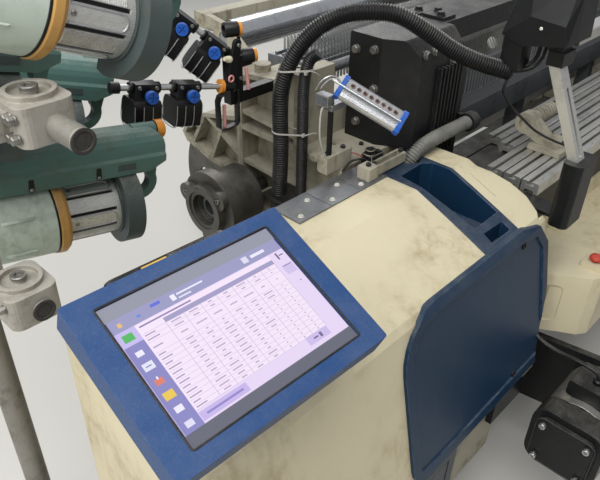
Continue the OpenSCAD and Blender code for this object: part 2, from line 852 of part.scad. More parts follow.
// Heald frames: two rails, two side staves and linked lifting rods
heald_y0 = 520;
heald_z0 = 730;
heald_z1 = 1190;
module heald_frame(i) {
  y = heald_y0 + i * heald_pitch;
  box([reed_x0 + 4, y, heald_z0], [reed_x1 - 4, y + 9, heald_z0 + 70]);
  box([reed_x0 + 4, y, heald_z1 - 70], [reed_x1 - 4, y + 9, heald_z1]);
  for (x = [reed_x0 + 4, reed_x1 - 34])
    box([x, y, heald_z0], [x + 30, y + 9, heald_z1]);
  for (x = lift_xs(i % 2))
    box([x, y + 1, 430], [x + 12, y + 8, heald_z0 + 1]);
}

function lift_xs(g) = [reed_x0 + 240 + 40 * g, reed_x1 - 292 + 40 * g];
module heald_link(g) {
  for (x = lift_xs(g))
    box([x, heald_y0 + g * heald_pitch + 1, 418],
      [x + 12, heald_y0 + (healds - 2 + g) * heald_pitch + 8, 436]);
}

// Combs that guide the ends of the heald frames
module heald_guides() {
  y1 = heald_y0 + (healds - 1) * heald_pitch + 20;
  both_sides()
    difference() {
      box([half_t + seat, heald_y0 - 14, 890], [reed_x0 + 16, y1, 950]);
      for (i = [0:healds - 1])
        box([reed_x0 + 4 - seat, heald_y0 + i * heald_pitch - seat, 889],
          [reed_x0 + 17, heald_y0 + i * heald_pitch + 9 + seat, 951]);
    }
}

module heald_frames_odd() {
  color(steel)
    union() {
      heald_link(0);
      for (i = [0:2:healds - 1])
        heald_frame(i);
    }
}

module heald_frames_even() {
  color(steel)
    union() {
      heald_link(1);
      for (i = [1:2:healds - 1])
        heald_frame(i);
    }
}

// Warp stop motion: contact bars in two slotted end holders
bar_n = 6;
bar_pitch = 32;
bar_y0 = upright_y1 + 38;
bar_z = 1062;
module warp_stop_bars() {
  x0 = half_t + 50 + seat;
  color(steel) {
    for (i = [0:bar_n - 1])
      box([x0, bar_y0 + i * bar_pitch, bar_z], [pitch - x0, bar_y0 + 9 + i * bar_pitch, bar_z + 32]);
    rod_x(half_t + 60, pitch - half_t - 60, bar_y0 - 28, bar_z + 14, 36);
  }
  color(dark_steel)
    both_sides()
      difference() {
        slab_x([[bar_y0 - 52, bar_z - 44], [bar_y0 + bar_n * bar_pitch, bar_z - 44],
          [bar_y0 + bar_n * bar_pitch, bar_z + 22], [bar_y0 - 52, bar_z + 34]],
          half_t + 40, half_t + 60 - seat);
        for (i = [0:bar_n - 1])
          box([half_t + 50, bar_y0 + i * bar_pitch - seat, bar_z - seat],
            [half_t + 61, bar_y0 + 9 + seat + i * bar_pitch, bar_z + 40]);
      }
  color(dark_steel)
    both_sides()
      slab_x([[bar_y0 + 40, bar_z - 70], [bar_y0 + 110, bar_z - 70], [bar_y0 + 110, bar_z - 44],
        [bar_y0 + 40, bar_z - 44]], half_t + seat, half_t + 60);
}

// Temples: a cast bracket on the table and a ringed roller
module temple() {
  x0 = reed_x0 + 110;
  z0 = table_z + seat;
  difference() {
    union() {
      box([x0, 20, z0], [x0 + 130, 120, z0 + 14]);
      slab_x(concat([[40, z0 + 13], [100, z0 + 13]], arc([150, z0 + 62], 30, -30, 120, 6)),
        x0 + 20, x0 + 60);
      rod_x(x0 + 20, x0 + 60, 150, z0 + 62, 64);
    }
    rod_x(x0 + 19, x0 + 28, 150, z0 + 62, 34);
  }
  for (i = [0:7])
    rod_x(x0 + 62 + i * 16, x0 + 62 + i * 16 + 12, 150, z0 + 62, 44);
  rod_x(x0 + 50, x0 + 190, 150, z0 + 62, 24);
}

module temples() {
  color(casting)
    both_sides()
      temple();
}

// Take-up motor: finned silver body, black end bell and a bracket
motor_y = -335;
motor_z = 365;
motor_x0 = 20;
module take_up_motor() {
  color(black) {
    slab_x([for (p = round_rect(196, 196, 46)) p + [motor_y, motor_z]], motor_x0, motor_x0 + 66);
    slab_x([for (p = round_rect(150, 150, 20)) p + [motor_y, motor_z]],
      motor_x0 - 14, motor_x0 + 1);
    for (a = [45:90:315])
      rod_x(motor_x0 - 20, motor_x0 + 1, motor_y + 84 * cos(a), motor_z + 84 * sin(a), 16);
    slab_x(soften([[motor_y - 60, motor_z + 100], [motor_y + 60, motor_z + 100],
      [motor_y + 60, motor_z + 150], [motor_y - 60, motor_z + 150]], 10), 110, 210);
  }
  color(steel)
    rod_x(motor_x0 + 66, motor_x0 + 260, motor_y, motor_z, 206);
  color(dark_steel) {
    slab_x(concat(arc([motor_y, motor_z], 122, 90, 270, 10),
      [[frame_front - seat, motor_z - 160], [frame_front - seat, motor_z + 90]]),
      motor_x0 + 259, motor_x0 + 280);
    box([half_t - 60, frame_front - 20, motor_z - 150], [motor_x0 + 281, frame_front - seat, motor_z + 80]);
  }
}

// Grooved drive pulley outside the left frame, on a shaft in its outer web
module drive_pulley() {
  x0 = -half_t - 62;
  color(dark_steel)
    difference() {
      union() {
        rod_x(x0, x0 + 50, pulley_c[0], pulley_c[1], 190);
        rod_x(x0 - 14, x0 + 58, pulley_c[0], pulley_c[1], 70);
        rod_x(x0 + 57, -half_t + web_back + cast_wall + 12, pulley_c[0], pulley_c[1], journal_d);
      }
      for (i = [0:3])
        translate([x0 + 8 + i * 10, pulley_c[0], pulley_c[1]])
          rotate([0, 90, 0])
            difference() {
              cylinder(h = 6, d = 192);
              cylinder(h = 6, d = 172);
            }
      for (a = [0:60:300])
        translate([x0 - 1, pulley_c[0], pulley_c[1]])
          rotate([a, 0, 0])
            rod_x(0, 60, 58, 0, 26);
    }
}

// Coupling on the end of the main shaft, with a ring, a sleeve and ears
coupling_x = -330;
module rear_coupling() {
  y = coupling_c[0];
  z = coupling_c[1];
  color(dark_steel)
    union() {
      rod_x(coupling_x + 60, -half_t - 24, y, z, 184);
      rod_x(-half_t - 25, -half_t + web_back + cast_wall + 12, y, z, journal_d);
    }
  color(casting)
    difference() {
      union() {
        rod_x(coupling_x + 26, coupling_x + 61, y, z, 216);
        rod_x(coupling_x, coupling_x + 27, y, z, 150);
        for (a = [20:120:260])
          translate([0, y, z])
            rotate([a, 0, 0])
              rod_x(coupling_x + 6, coupling_x + 27, 82, 0, 56);
      }
      rod_x(coupling_x - 1, coupling_x + 40, y, z, 96);
      rod_x(coupling_x - 1, coupling_x + 50, y, z, 64);
      rod_x(coupling_x - 1, coupling_x + 5, y, z, 118);
      for (a = [20:120:260])
        translate([0, y, z])
          rotate([a, 0, 0])
            rod_x(coupling_x, coupling_x + 30, 84, 0, 20);
    }
}

// Terminal on a post at the outer end of the left housing
terminal_c = [-852, -51, 1171];
post_y = 16;
post_d = 44;
post_top = 1050;
collar_d = 84;
collar_z = top_z(post_y + collar_d / 2) + 2;
module terminal_post() {
  color(dark_steel) {
    rod_z(cabinet_z + seat, post_top, terminal_c[0], post_y, post_d);
    difference() {
      rod_z(collar_z, collar_z + 16, terminal_c[0], post_y, collar_d);
      rod_z(collar_z - 1, collar_z + 17, terminal_c[0], post_y, post_d - 2);
    }
  }
}

// Swivel head: a cap on the post and two cheeks for the tilt pin
hinge_z = 1092;
hinge_y = -12;
hinge_d = 14;
module on_swivel() {
  translate([terminal_c[0], post_y, 0])
    rotate([0, 0, terminal_turn])
      children();
}

module terminal_arm() {
  color(black)
    on_swivel() {
      difference() {
        rod_z(post_top - 40, post_top + 14, 0, 0, 66);
        rod_z(post_top - 41, post_top + seat, 0, 0, post_d + 2 * journal_fit);
      }
      for (x = [-46, 28])
        slab_x(concat([[-26, post_top + 2], [22, post_top + 2]],
          arc([hinge_y, hinge_z], 17, 0, 180, 6)), x, x + 18);
      box([-46, -26, post_top + 2], [46, 22, post_top + 14]);
      rod_x(-46, 46, hinge_y, hinge_z, hinge_d);
    }
}

// Frame of the terminal: local Z points out of the glass
module on_terminal() {
  translate(terminal_c)
    rotate([terminal_lean, 0, terminal_turn])
      children();
}

glass_t = 4;
module terminal_case() {
  color(navy) {
    on_terminal()
      difference() {
        union() {
          translate([0, 0, -terminal_t])
            linear_extrude(terminal_t)
              polygon(round_rect(terminal_w, terminal_h, 5));
          translate([0, 0, -terminal_t - 12])
            linear_extrude(13)
              polygon(round_rect(terminal_w - 110, terminal_h - 90, 10));
        }
        // Seat of the glass
        translate([0, 0, -7])
          linear_extrude(8)
            polygon(round_rect(glass_w, glass_h, 3));
      }
    terminal_ears();
  }
}

// Ears under the case that take the tilt pin
module terminal_ears() {
  difference() {
    intersection() {
      on_swivel()
        for (x = [-26, 10])
          slab_x([[hinge_y - 15, hinge_z - 15], [hinge_y + 15, hinge_z - 15],
            [hinge_y + 26, hinge_z + 80], [hinge_y - 50, hinge_z + 60]], x, x + 16);
      on_terminal()
        translate([-100, -150, -terminal_t - 130])
          cube([200, 300, 125]);
    }
    on_swivel()
      rod_x(-60, 60, hinge_y, hinge_z, hinge_d + 2 * journal_fit);
  }
}

module terminal_screen() {
  color("#c9b7da")
    on_terminal()
      translate([0, 0, -7 + seat])
        linear_extrude(glass_t)
          polygon(round_rect(glass_w - 2 * seat, glass_h - 2 * seat, 3));
}

// Black hand grip along the back edge of the terminal
module terminal_handle() {
  color(black)
    on_terminal() {
      translate([-8, terminal_h / 2 + seat, -30])
        rotate([90, 0, 0])
          translate([0, 0, -15])
            linear_extrude(15)
              polygon(round_rect(206, 22, 10));
    }
}

// Weft sensor: an angled aluminium section with eight eyelets
sensor_a = [-187, 332, 1237];
sensor_l = 163;
sensor_turn = [18, 24.6, -64.9];
eyelets = 8;
module on_sensor() {
  translate(sensor_a)
    rotate([0, sensor_turn[1], sensor_turn[2]])
      rotate([sensor_turn[0], 0, 0])
        children();
}

function sensor_section() = concat([[0, 6], [4, 0]],
  arc([-16, -8], 13, 300, 90, 6), [[-8, 8], [-2, 8]],
  [[2, 13], [34, 20]], arc([35, 14], 6, 80, -80, 4));
module weft_sensor() {
  color(steel)
    on_sensor()
      difference() {
        union() {
          slab_x(sensor_lower(), 8, sensor_l - 8);
          slab_x(sensor_upper(), 8, sensor_l - 8);
        }
        for (i = [0:eyelets - 1])
          translate([sensor_l / 2 + (i - (eyelets - 1) / 2) * 16.5, 19, -20])
            cylinder(h = 60, d = 8);
      }
  color(bright_blue)
    on_sensor()
      for (x = [0, sensor_l - 8])
        slab_x(concat([[-30, 2], [-24, -14], [4, -16], [38, -8], [40, 8], [34, 14]],
          [[4, 8], [-22, 12]]), x, x + 8 - seat);
}

function sensor_lower() = concat(arc([-14, -2], 13, 60, 300, 8), [[6, -12], [6, -1], [1, 4]]);
function sensor_upper() = [[0, -12], [6, -13], [36, -6], [38, 7], [32, 10], [2, 4]];

// Sensor bracket: a foot on the ledge, a post, a clamp head and a slotted bar
module sensor_bracket() {
  color(casting) {
    box([-205, 344, ledge_z + seat], [-112, 378, ledge_z + 46]);
    difference() {
      box([-112, plate_y0 + 14, housing_z + 6], [10, plate_y0 + 44, housing_z + 32]);
      box([-100, plate_y0 + 22, housing_z + 20], [0, plate_y0 + 36, housing_z + 33]);
    }
    box([-150, plate_y0 + 8, housing_z + 5], [-112, plate_y0 + 48, housing_z + 38]);
  }
  color(black) {
    rod_z(ledge_z + 44, 1190, -184, 359, 13);
    box([-96, plate_y0 + 46, housing_z + 5], [-46, plate_y0 + 80, housing_z + 42]);
    rod_z(housing_z + 40, housing_z + 56, -84, plate_y0 + 62, 26);
  }
  color(steel) {
    box([-214, 330, 1186], [-160, 378, 1200]);
    box([-226, 334, 1198], [-202, 372, 1224]);
  }
}

// Corrugated conduits: tubes swept along routes picked by hand
function at_route(p, s) = let (n = len(p) - 1, i = min(floor(s * n), n - 1), t = s * n - i,
  a = p[max(i - 1, 0)], b = p[i], c = p[i + 1], d = p[min(i + 2, n)])
  0.5 * (2 * b + (c - a) * t + (2 * a - 5 * b + 4 * c - d) * t * t
    + (3 * b - a - 3 * c + d) * t * t * t);

module tube_along(p, d, rings, sides = 10) {
  pts = [for (i = [0:rings]) at_route(p, i / rings)];
  dir = [for (i = [0:rings]) unit(pts[min(i + 1, rings)] - pts[max(i - 1, 0)])];
  ref = [0.9, 0.43, 0.05];
  skin = [for (i = [0:rings]) let (u = unit(cross(dir[i], ref)), v = cross(dir[i], u))
    for (k = [0:sides - 1]) pts[i] + d / 2 * (cos(360 * k / sides) * u + sin(360 * k / sides) * v)];
  walls = [for (i = [0:rings - 1], k = [0:sides - 1])
    [i * sides + k, i * sides + (k + 1) % sides, (i + 1) * sides + (k + 1) % sides,
      (i + 1) * sides + k]];
  polyhedron(skin, concat([[for (k = [0:sides - 1]) sides - 1 - k]], walls,
    [[for (k = [0:sides - 1]) rings * sides + k]]));
}

conduit_d = 42;
main_route = [[-206, 520, 700], [-205, 516, 850], [-202, 512, 960], [-201, 511, 1050],
  [-203, 512, 1130], [-199, 508, 1200], [-180, 488, 1275], [-148, 452, 1335],
  [-105, 404, 1372], [-56, 349, 1382], [-15, 304, 1374], [30, 252, 1338], [77, 201, 1296],
  [120, 150, 1270], [172, 96, 1250]];
// Turn that lays Z along the last stretch of the main conduit
end_dir = unit(main_route[14] - main_route[13]);
end_side = unit(cross(end_dir, [0, 0, 1]));
end_top = cross(end_side, end_dir);
end_frame = [[end_side[0], end_top[0], end_dir[0], 0], [end_side[1], end_top[1], end_dir[1], 0],
  [end_side[2], end_top[2], end_dir[2], 0], [0, 0, 0, 1]];
module conduit_main() {
  color(black)
    tube_along(main_route, conduit_d, 42);
}

rear_route = [[-166, 470, 620], [-166, 468, 850], [-167, 466, 1050], [-168, 464, 1200],
  [-163, 454, 1262], [-151, 436, 1285]];
module conduit_rear() {
  color(black)
    tube_along(rear_route, 30, 18);
}

// Clips that hold both conduits to the frame
module conduit_clips() {
  for (c = [[743, -206, 519, 469], [886, -204, 515, 468]])
    difference() {
      box([-236, 444, c[0] - 5], [4 - half_t - seat, 548, c[0] + 5]);
      rod_z(c[0] - 6, c[0] + 6, c[1], c[2], conduit_d + 1.8);
      rod_z(c[0] - 6, c[0] + 6, -166.2, c[3], 31.8);
    }
}

grey_end = [250, 1034];
grey_route = [[28, 276, 948], [34, 266, 990], [60, 255, 1023], [104, 250, 1036],
  [152, 249, 1038], [200, 249, 1037], [252, 250, 1035], [303, 250, 1034]];
module conduit_grey() {
  color("#7d7c74")
    tube_along(grey_route, 40, 21);
}

// Black hood at the left end of the lamp rail, its clamp and the foot boxes
leg_x = 212;
leg_top = [4, 1288];
leg_foot = [-101, 1010];
// Outlines of the hood in Y and Z: its small left end and its full body
hood_x0 = 140;
hood_end = [[-36, 1346], [66, 1326], [123, 1342], [61, 1394], [-23, 1387]];
hood_body = [[-38, 1346], [66, 1322], [132, 1338], [130, 1392], [112, 1462], [88, 1482],
  [-18, 1482], [-32, 1460], [-32, 1390]];
module control_hood() {
  color(black) {
    difference() {
      hull() {
        slab_x(hood_end, hood_x0, hood_x0 + 2);
        slab_x(hood_body, hood_x0 + 46, 262);
      }
      // Open underside
      slab_x([[4, 1300], [112, 1300], [112, 1356], [4, 1362]], 206, 250);
    }
    // Neck on the clamp and gland of the conduit
    box([leg_x - 25, leg_top[0] - 16, leg_top[1] + 29], [leg_x + 25, leg_top[0] + 20, 1350]);
    difference() {
      box([150, 70, 1262], [200, 120, 1345]);
      translate(main_route[14])
        multmatrix(end_frame)
          translate([0, 0, -80])
            cylinder(h = 100, d = conduit_d + 1.4);
    }
  }
  color(black)
    both_sides() {
      // Clamp on the top of the leg
      box([leg_x - 30, leg_top[0] - 24, leg_top[1] - 4 + seat], [leg_x + 30, leg_top[0] + 16, leg_top[1] + 30 - seat]);
      // Rounded box round the foot of the leg
      translate([leg_x + 8, leg_foot[0] - 6, 895])
        linear_extrude(175.7)
          polygon(round_rect(100, 52, 16));
      box([leg_x - 22, leg_foot[0] + 18, 905], [leg_x + 38, beam_y0 - seat, 915]);
    }
}

// Lamp frame: two leaning legs and a rail across the front
module lamp_frame() {
  color(steel) {
    both_sides()
      difference() {
        slab_x([[leg_top[0] - 14, leg_top[1] - 4], [leg_foot[0] - 10, 1071],
          [leg_foot[0] + 16, 1071], [leg_top[0] + 12, leg_top[1] - 8]], leg_x - 20, leg_x + 20);
        slab_x([[leg_top[0] - 24, leg_top[1] - 30], [leg_foot[0] - 20, 1080],
          [leg_foot[0] - 2, 1080], [leg_top[0] - 6, leg_top[1] - 30]], leg_x - 5, leg_x + 5);
      }
    slab_x(soften([[leg_top[0] - 20, leg_top[1] + 30], [leg_top[0] + 20, leg_top[1] + 30],
      [leg_top[0] + 20, leg_top[1] + 58], [leg_top[0] - 20, leg_top[1] + 58]], 4),
      262 + seat, pitch - 180);
  }
}

// Yarn feeders: place of the winding ring, heading and fall of the axis
feeder_at = [[-874, 322, stand_h - 213], [-788, 818, stand_h - 587],
  [-800, 590, stand_h - 715], [-1021, 558, stand_h - 411]];
feeder_turn = [[21, -3], [16, -12], [6, -10], [14, -5]];
module on_feeder(k) {
  translate(feeder_at[k])
    rotate([0, feeder_turn[k][0], feeder_turn[k][1]])
      children();
}

ring_w = 24;
shaft_d = 24;
module feeder_bells() {
  color(pale_green)
    for (k = [0:3])
      on_feeder(k)
        rotate([0, 90, 0])
          rotate_extrude()
            polygon(concat([[0, -ring_w / 2 - 160]],
              arc([ring_d / 2 - 34, -ring_w / 2 - 130], 30, 270, 360, 6),
              [[ring_d / 2 - 3, -ring_w / 2 - 20], [ring_d / 2 - 3, -ring_w / 2 - 4],
               [ring_d / 2 - 8, -ring_w / 2 - 2], [ring_d / 2 - 8, -ring_w / 2 - seat],
               [0, -ring_w / 2 - seat]]));
  // Saddles under the spines
  color(pale_green)
    for (k = [0:3])
      on_feeder(k)
        box([-140, -24, 50], [-46, 24, spine_z0 - seat]);
}

module feeder_ring(k) {
  color(ochre)
    on_feeder(k)
      rotate([0, 90, 0])
        rotate_extrude()
          polygon([[shaft_d / 2 + journal_fit, -ring_w / 2], [ring_d / 2 - 2, -ring_w / 2],
            [ring_d / 2, -ring_w / 2 + 3], [ring_d / 2, 4], [ring_d / 2 - 7, ring_w / 2],
            [shaft_d / 2 + journal_fit, ring_w / 2]]);
}

// Drum: fingers round a core, with slots between them
finger_gap = 7;
module feeder_drums() {
  x0 = ring_w / 2 + seat;
  color(steel)
    for (k = [0:3])
      on_feeder(k) {
        difference() {
          rod_x(x0, x0 + drum_l, 0, 0, drum_d);
          rod_x(x0 - 1, x0 + drum_l - 14, 0, 0, drum_d - 16);
          for (i = [0:fingers - 1])
            rotate([i * 360 / fingers, 0, 0])
              translate([x0 - 1, -finger_gap / 2, 0])
                cube([drum_l - 8, finger_gap, drum_d]);
        }
        rod_x(-ring_w / 2 - seat, x0 + drum_l - 13, 0, 0, shaft_d);
      }
}

// Front arm: black ring at the nose and the guard that hangs from the spine
arm_x = ring_w / 2 + drum_l + 2 * seat;
module feeder_front_arms() {
  color("#30383a")
    for (k = [0:3])
      on_feeder(k) {
        difference() {
          rod_x(arm_x, arm_x + 16, 0, 0, drum_d + 12);
          rod_x(arm_x - 1, arm_x + 17, 0, 0, drum_d - 40);
        }
        intersection() {
          difference() {
            rod_x(arm_x + 4, arm_x + 44, 0, 0, ring_d + 16);
            rod_x(arm_x + 3, arm_x + 45, 0, 0, drum_d - 4);
          }
          slab_x([[-60, -200], [30, -200], [30, -50], [110, -50], [110, 84 - seat],
            [-110, 84 - seat], [-110, -50]], arm_x, arm_x + 50);
        }
        difference() {
          rod_x(arm_x + 8, arm_x + 16, 0, 0, drum_d - 38);
          rod_x(arm_x + 7, arm_x + 17, 0, 0, 22);
        }
      }
}

// Spine: the long beam over each feeder, with a hooked nose
spine_w = 92;
spine_z0 = 84;
spine_x1 = 236;
module feeder_spines() {
  section = concat([[-spine_w / 2, spine_z0], [spine_w / 2, spine_z0], [spine_w / 2 + 3, spine_z0 + 34],
    [spine_w / 2 - 2, spine_z0 + 40]],
    arc([spine_w / 2 - 38, spine_z0 + 54], 36, 0, 80, 4),
    arc([38 - spine_w / 2, spine_z0 + 54], 36, 100, 180, 4),
    [[2 - spine_w / 2, spine_z0 + 40], [-spine_w / 2 - 3, spine_z0 + 34]]);
  side = concat([[-180, spine_z0], [200, spine_z0], [spine_x1, spine_z0 + 20]],
    arc([spine_x1 - 34, spine_z0 + 56], 34, 0, 90, 4), [[-150, spine_z0 + 92], [-180, spine_z0 + 70]]);
  color(teal)
    for (k = [0:3])
      on_feeder(k) {
        intersection() {
          slab_x(section, -180, spine_x1);
          slab_y(side, -spine_w, spine_w);
        }
        // Hook at the nose
        slab_y(concat([[196, spine_z0 + 30], [202, spine_z0 - 14]], arc([188, 44], 24, 50, -80, 6),
          [[190, 8]], arc([188, 44], 42, -80, 20, 6), [[spine_x1 - 2, spine_z0 + 26]]), -13, 13);
        // Yellow-capped screw seat
        rod_x(spine_x1 - 60, spine_x1 - 4, 0, spine_z0 + 76, 36);
      }
}

// Stand: a column on a cross foot, with arms for the feeders
column = [-1030, 447];
column_d = 48;
stand_tube_d = 36;
tube_z = stand_h - 536;
module feeder_stand() {
  cx = column[0];
  cy = column[1];
  color("#8f8d85") {
    rod_z(12, stand_h, cx, cy, column_d);
    difference() {
      union() {
        box([cx - 300, cy - 45, 0], [cx + 300, cy + 45, 12]);
        box([cx - 45, cy - 300, 0], [cx + 45, cy + 300, 12]);
      }
      for (s = [-270, 270]) {
        rod_z(-1, 13, cx + s, cy, 13);
        rod_z(-1, 13, cx, cy + s, 13);
      }
    }
    // Lower tube along the loom for the second and third feeder
    rod_y(cy + column_d / 2 - 2, 900, cx, tube_z, stand_tube_d);
  }
}

// Cast cross clamps on the column and the free stub tube
module cross_clamp(x, y, z) {
  difference() {
    union() {
      slab_z([for (p = round_rect(86, 96, 18)) p + [x, y]], z - 34, z + 24);
      rod_z(z + 20, z + 32, x, y, 74);
    }
    rod_z(z + 24, z + 33, x, y, 60);
    rod_y(y - 50, y + 50, x + 8, z - 12, stand_tube_d + 0.6);
  }
  rod_z(z + 23, z + 30, x, y, 22);
}

clamp_z = stand_h - 350;
low_clamp_z = stand_h - 648;
module stand_clamps() {
  cx = column[0];
  cy = column[1];
  color("#b5aea2") {
    cross_clamp(-935, 262, clamp_z + 10);
    // Arm from the column to the clamp
    difference() {
      box([cx - 42, cy - 42, clamp_z - 20], [cx + 42, cy + 36, clamp_z + 26]);
      rod_z(clamp_z - 30, clamp_z + 30, cx, cy, column_d + 2 * seat);
    }
    box([cx - 20, 250, clamp_z - 18], [cx + 20, cy - 40, clamp_z + 22]);
    box([cx - 20, 250, clamp_z - 18], [-976, 290, clamp_z + 22]);
    // Lower clamp, with the same casting
    difference() {
      box([cx - 42, cy - 42, low_clamp_z - 30], [cx + 42, cy + 42, low_clamp_z + 16]);
      rod_z(low_clamp_z - 32, low_clamp_z + 18, cx, cy, column_d + 2 * seat);
    }
    box([cx - 20, 330, low_clamp_z - 28], [cx + 20, cy - 40, low_clamp_z + 12]);
    cross_clamp(-1002, 300, low_clamp_z);
  }
  color("#9a958a") {
    rod_y(150, 330, -927, clamp_z - 2, stand_tube_d);
    rod_y(250, 360, -994, low_clamp_z - 12, stand_tube_d);
  }
  color("#b5aea2")
    feeder_hangers();
}

// Short arms from the column and tube to each feeder spine
module feeder_hangers() {
  cx = column[0];
  cy = column[1];
  side = spine_w / 2 + 3 + seat;
  back = -180 - seat;
  // First feeder, beside the column top
  on_feeder(0)
    box([-178, side, spine_z0 + 16], [-112, side + 30, spine_z0 + 52]);
  difference() {
    box([cx - 36, 392, stand_h - 72], [cx + 76, cy + 36, stand_h - 26]);
    rod_z(stand_h - 80, stand_h - 20, cx, cy, column_d + 2 * seat);
  }
  // Fourth feeder, behind the column
  on_feeder(3)
    box([-60, -side - 30, spine_z0 + 16], [10, -side, spine_z0 + 52]);
  difference() {
    box([cx - 66, cy - 36, stand_h - 314], [cx + 36, 496, stand_h - 274]);
    rod_z(stand_h - 320, stand_h - 270, cx, cy, column_d + 2 * seat);
  }
  // Third feeder, in front of the tube
  on_feeder(2)
    box([back - 30, -24, spine_z0 + 10], [back, 24, spine_z0 + 60]);
  difference() {
    box([cx - 30, 596, tube_z - 44], [cx + 46, 640, tube_z + 28]);
    rod_y(590, 650, cx, tube_z, stand_tube_d + 2 * seat);
  }
  // Second feeder, over the end of the tube
  on_feeder(1)
    box([back - 30, -24, spine_z0 + 10], [back, 24, spine_z0 + 60]);
  difference() {
    box([cx - 30, 832, tube_z - 28], [cx + 30, 876, tube_z + 142]);
    rod_y(820, 890, cx, tube_z, stand_tube_d + 2 * seat);
  }
  box([cx + 10, 832, tube_z + 100], [cx + 88, 876, tube_z + 142]);
}

// Yarn brakes: two rods, each with two units, on a bracket of the upright
lower_rod = [-589, 641, 1256];
upper_rod = [-392, 699, 1385];
rod_turn = [[10.8, -10.2], [39, -36.3]];
rod_ls = [310, 214];
brake_rod_d = 14;
module on_rod(k) {
  translate(k == 0 ? lower_rod : upper_rod)
    rotate([0, rod_turn[k][0], rod_turn[k][1]])
      children();
}

unit_at = [[0, 68], [0, 172], [1, 46], [1, 138]];
module brake_rails() {
  color(steel) {
    on_rod(0) rod_x(0, rod_ls[0], 0, 0, brake_rod_d);
    on_rod(1) rod_x(0, rod_ls[1], 0, 0, brake_rod_d);
  }
  color(black) {
    box([-300, 588, 1150], [-258, 614, 1268]);
    box([-290, 590, 1148], [-half_t - seat, 616, 1176]);
    on_rod(0) rod_x(-8, 12, 0, 0, 26);
    on_rod(0) rod_x(282, 308, 0, 0, 24);
    on_rod(1) rod_x(174, 188, 0, 0, 22);
    conduit_clips();
  }
}

module brake_boxes() {
  for (u = unit_at)
    on_rod(u[0])
      translate([u[1], 0, 0]) {
        color(black) {
          difference() {
            translate([-24, -20, -24])
              cube([56, 38, 36]);
            rod_x(-30, 40, 0, 0, brake_rod_d + 2 * seat);
          }
          rod_y(-26, -20, 8, -12, 20);
        }
        color(dark_steel)
          slab_x(soften([[-30, -26 - 62], [34, -26 - 62], [38, -34], [30, -24 - seat], [-26, -24 - seat],
            [-34, -34]], 6), -30, 36);
      }
}

module brake_knob(i) {
  u = unit_at[i];
  color(bright_blue)
    on_rod(u[0])
      translate([u[1] + 8, -26 - seat, -12])
        rotate([90, 0, 0])
          difference() {
            union() {
              cylinder(h = 5, d = 24);
              translate([0, 0, 4])
                cylinder(h = 12, d = 29);
            }
            translate([0, 0, 13])
              for (a = [0, 90])
                rotate([0, 0, a])
                  translate([-10, -1.5, 0])
                    cube([20, 3, 5]);
          }
}

// Yarn eyelets: orange rings in black holders on the brake bracket
eyelet_at = [[-262, 600, 1330], [-217, 597, 1257]];
module yarn_eyelets() {
  for (p = eyelet_at) {
    color(orange)
      translate(p)
        rotate([0, 90, -20])
          difference() {
            cylinder(h = 9, d = 34);
            translate([0, 0, -1])
              cylinder(h = 11, d = 24);
          }
    color(black)
      translate(p)
        rotate([0, 90, -20])
          translate([0, 0, -10])
            difference() {
              cylinder(h = 10.2, d = 36);
              translate([0, 0, -1])
                cylinder(h = 12, d = 22);
            }
  }
  color(orange)
    on_rod(0)
      translate([268, 0, 0])
        rotate([0, 90, 0])
          difference() {
            cylinder(h = 9, d = 34);
            translate([0, 0, -1])
              cylinder(h = 11, d = brake_rod_d + 2 * seat);
          }
  color(black) {
    rod_z(1268 + seat, 1316, -264, 593, 8);
    box([-258 + seat, 593, 1236], [-222, 603, 1246]);
  }
}

// Red stop button that is pressed down into its box
module stop_button() {
  color(red)
    translate([button_c[0], button_c[1], cover_z + 6])
      rotate_extrude()
        polygon([[0, 0], [9, 0], [9, 14], [19, 16], [20, 20], [17, 25], [9, 28], [0, 29]]);
}

side_frame_left();
side_frame_right();
cross_girders();
leveling_feet();
breast_beam();
table_rails();
housing_left();
housing_right();
tray_insert();
front_panel();
inner_cover();
front_cover();
control_cabinet();
guard_plates();
rapier_casings();
rear_brackets();
terminal_post();
terminal_arm();
terminal_case();
terminal_screen();
terminal_handle();
weft_sensor();
sensor_bracket();
conduit_main();
conduit_rear();
conduit_grey();
control_hood();
lamp_frame();
warp_stop_bars();
temples();
take_up_motor();
drive_pulley();
feeder_stand();
stand_clamps();
feeder_bells();
feeder_spines();
feeder_drums();
feeder_front_arms();
feeder_ring(0);  // feeder_ring_1
feeder_ring(1);  // feeder_ring_2
feeder_ring(2);  // feeder_ring_3
feeder_ring(3);  // feeder_ring_4
brake_rails();
brake_boxes();
brake_knob(0);  // brake_knob_1
brake_knob(1);  // brake_knob_2
brake_knob(2);  // brake_knob_3
brake_knob(3);  // brake_knob_4
yarn_eyelets();
heald_frames_odd();
heald_frames_even();
sley();
reed();
whip_roller();
warp_beam();
cloth_beam();
take_up_roller();
press_roller();
rear_coupling();
stop_button();
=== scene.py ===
# %% [markdown]
# # Rapier power loom
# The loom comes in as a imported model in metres: X runs along the weft, Y away from the weaver
# and Z up. Its solids stay where they are. This script gives every one of them a finish and
# adds the pieces that are too fine for the solids: the picture on the terminal, ribbed
# conduits, bolts, ceramic eyelets, heald wires and cable ties.

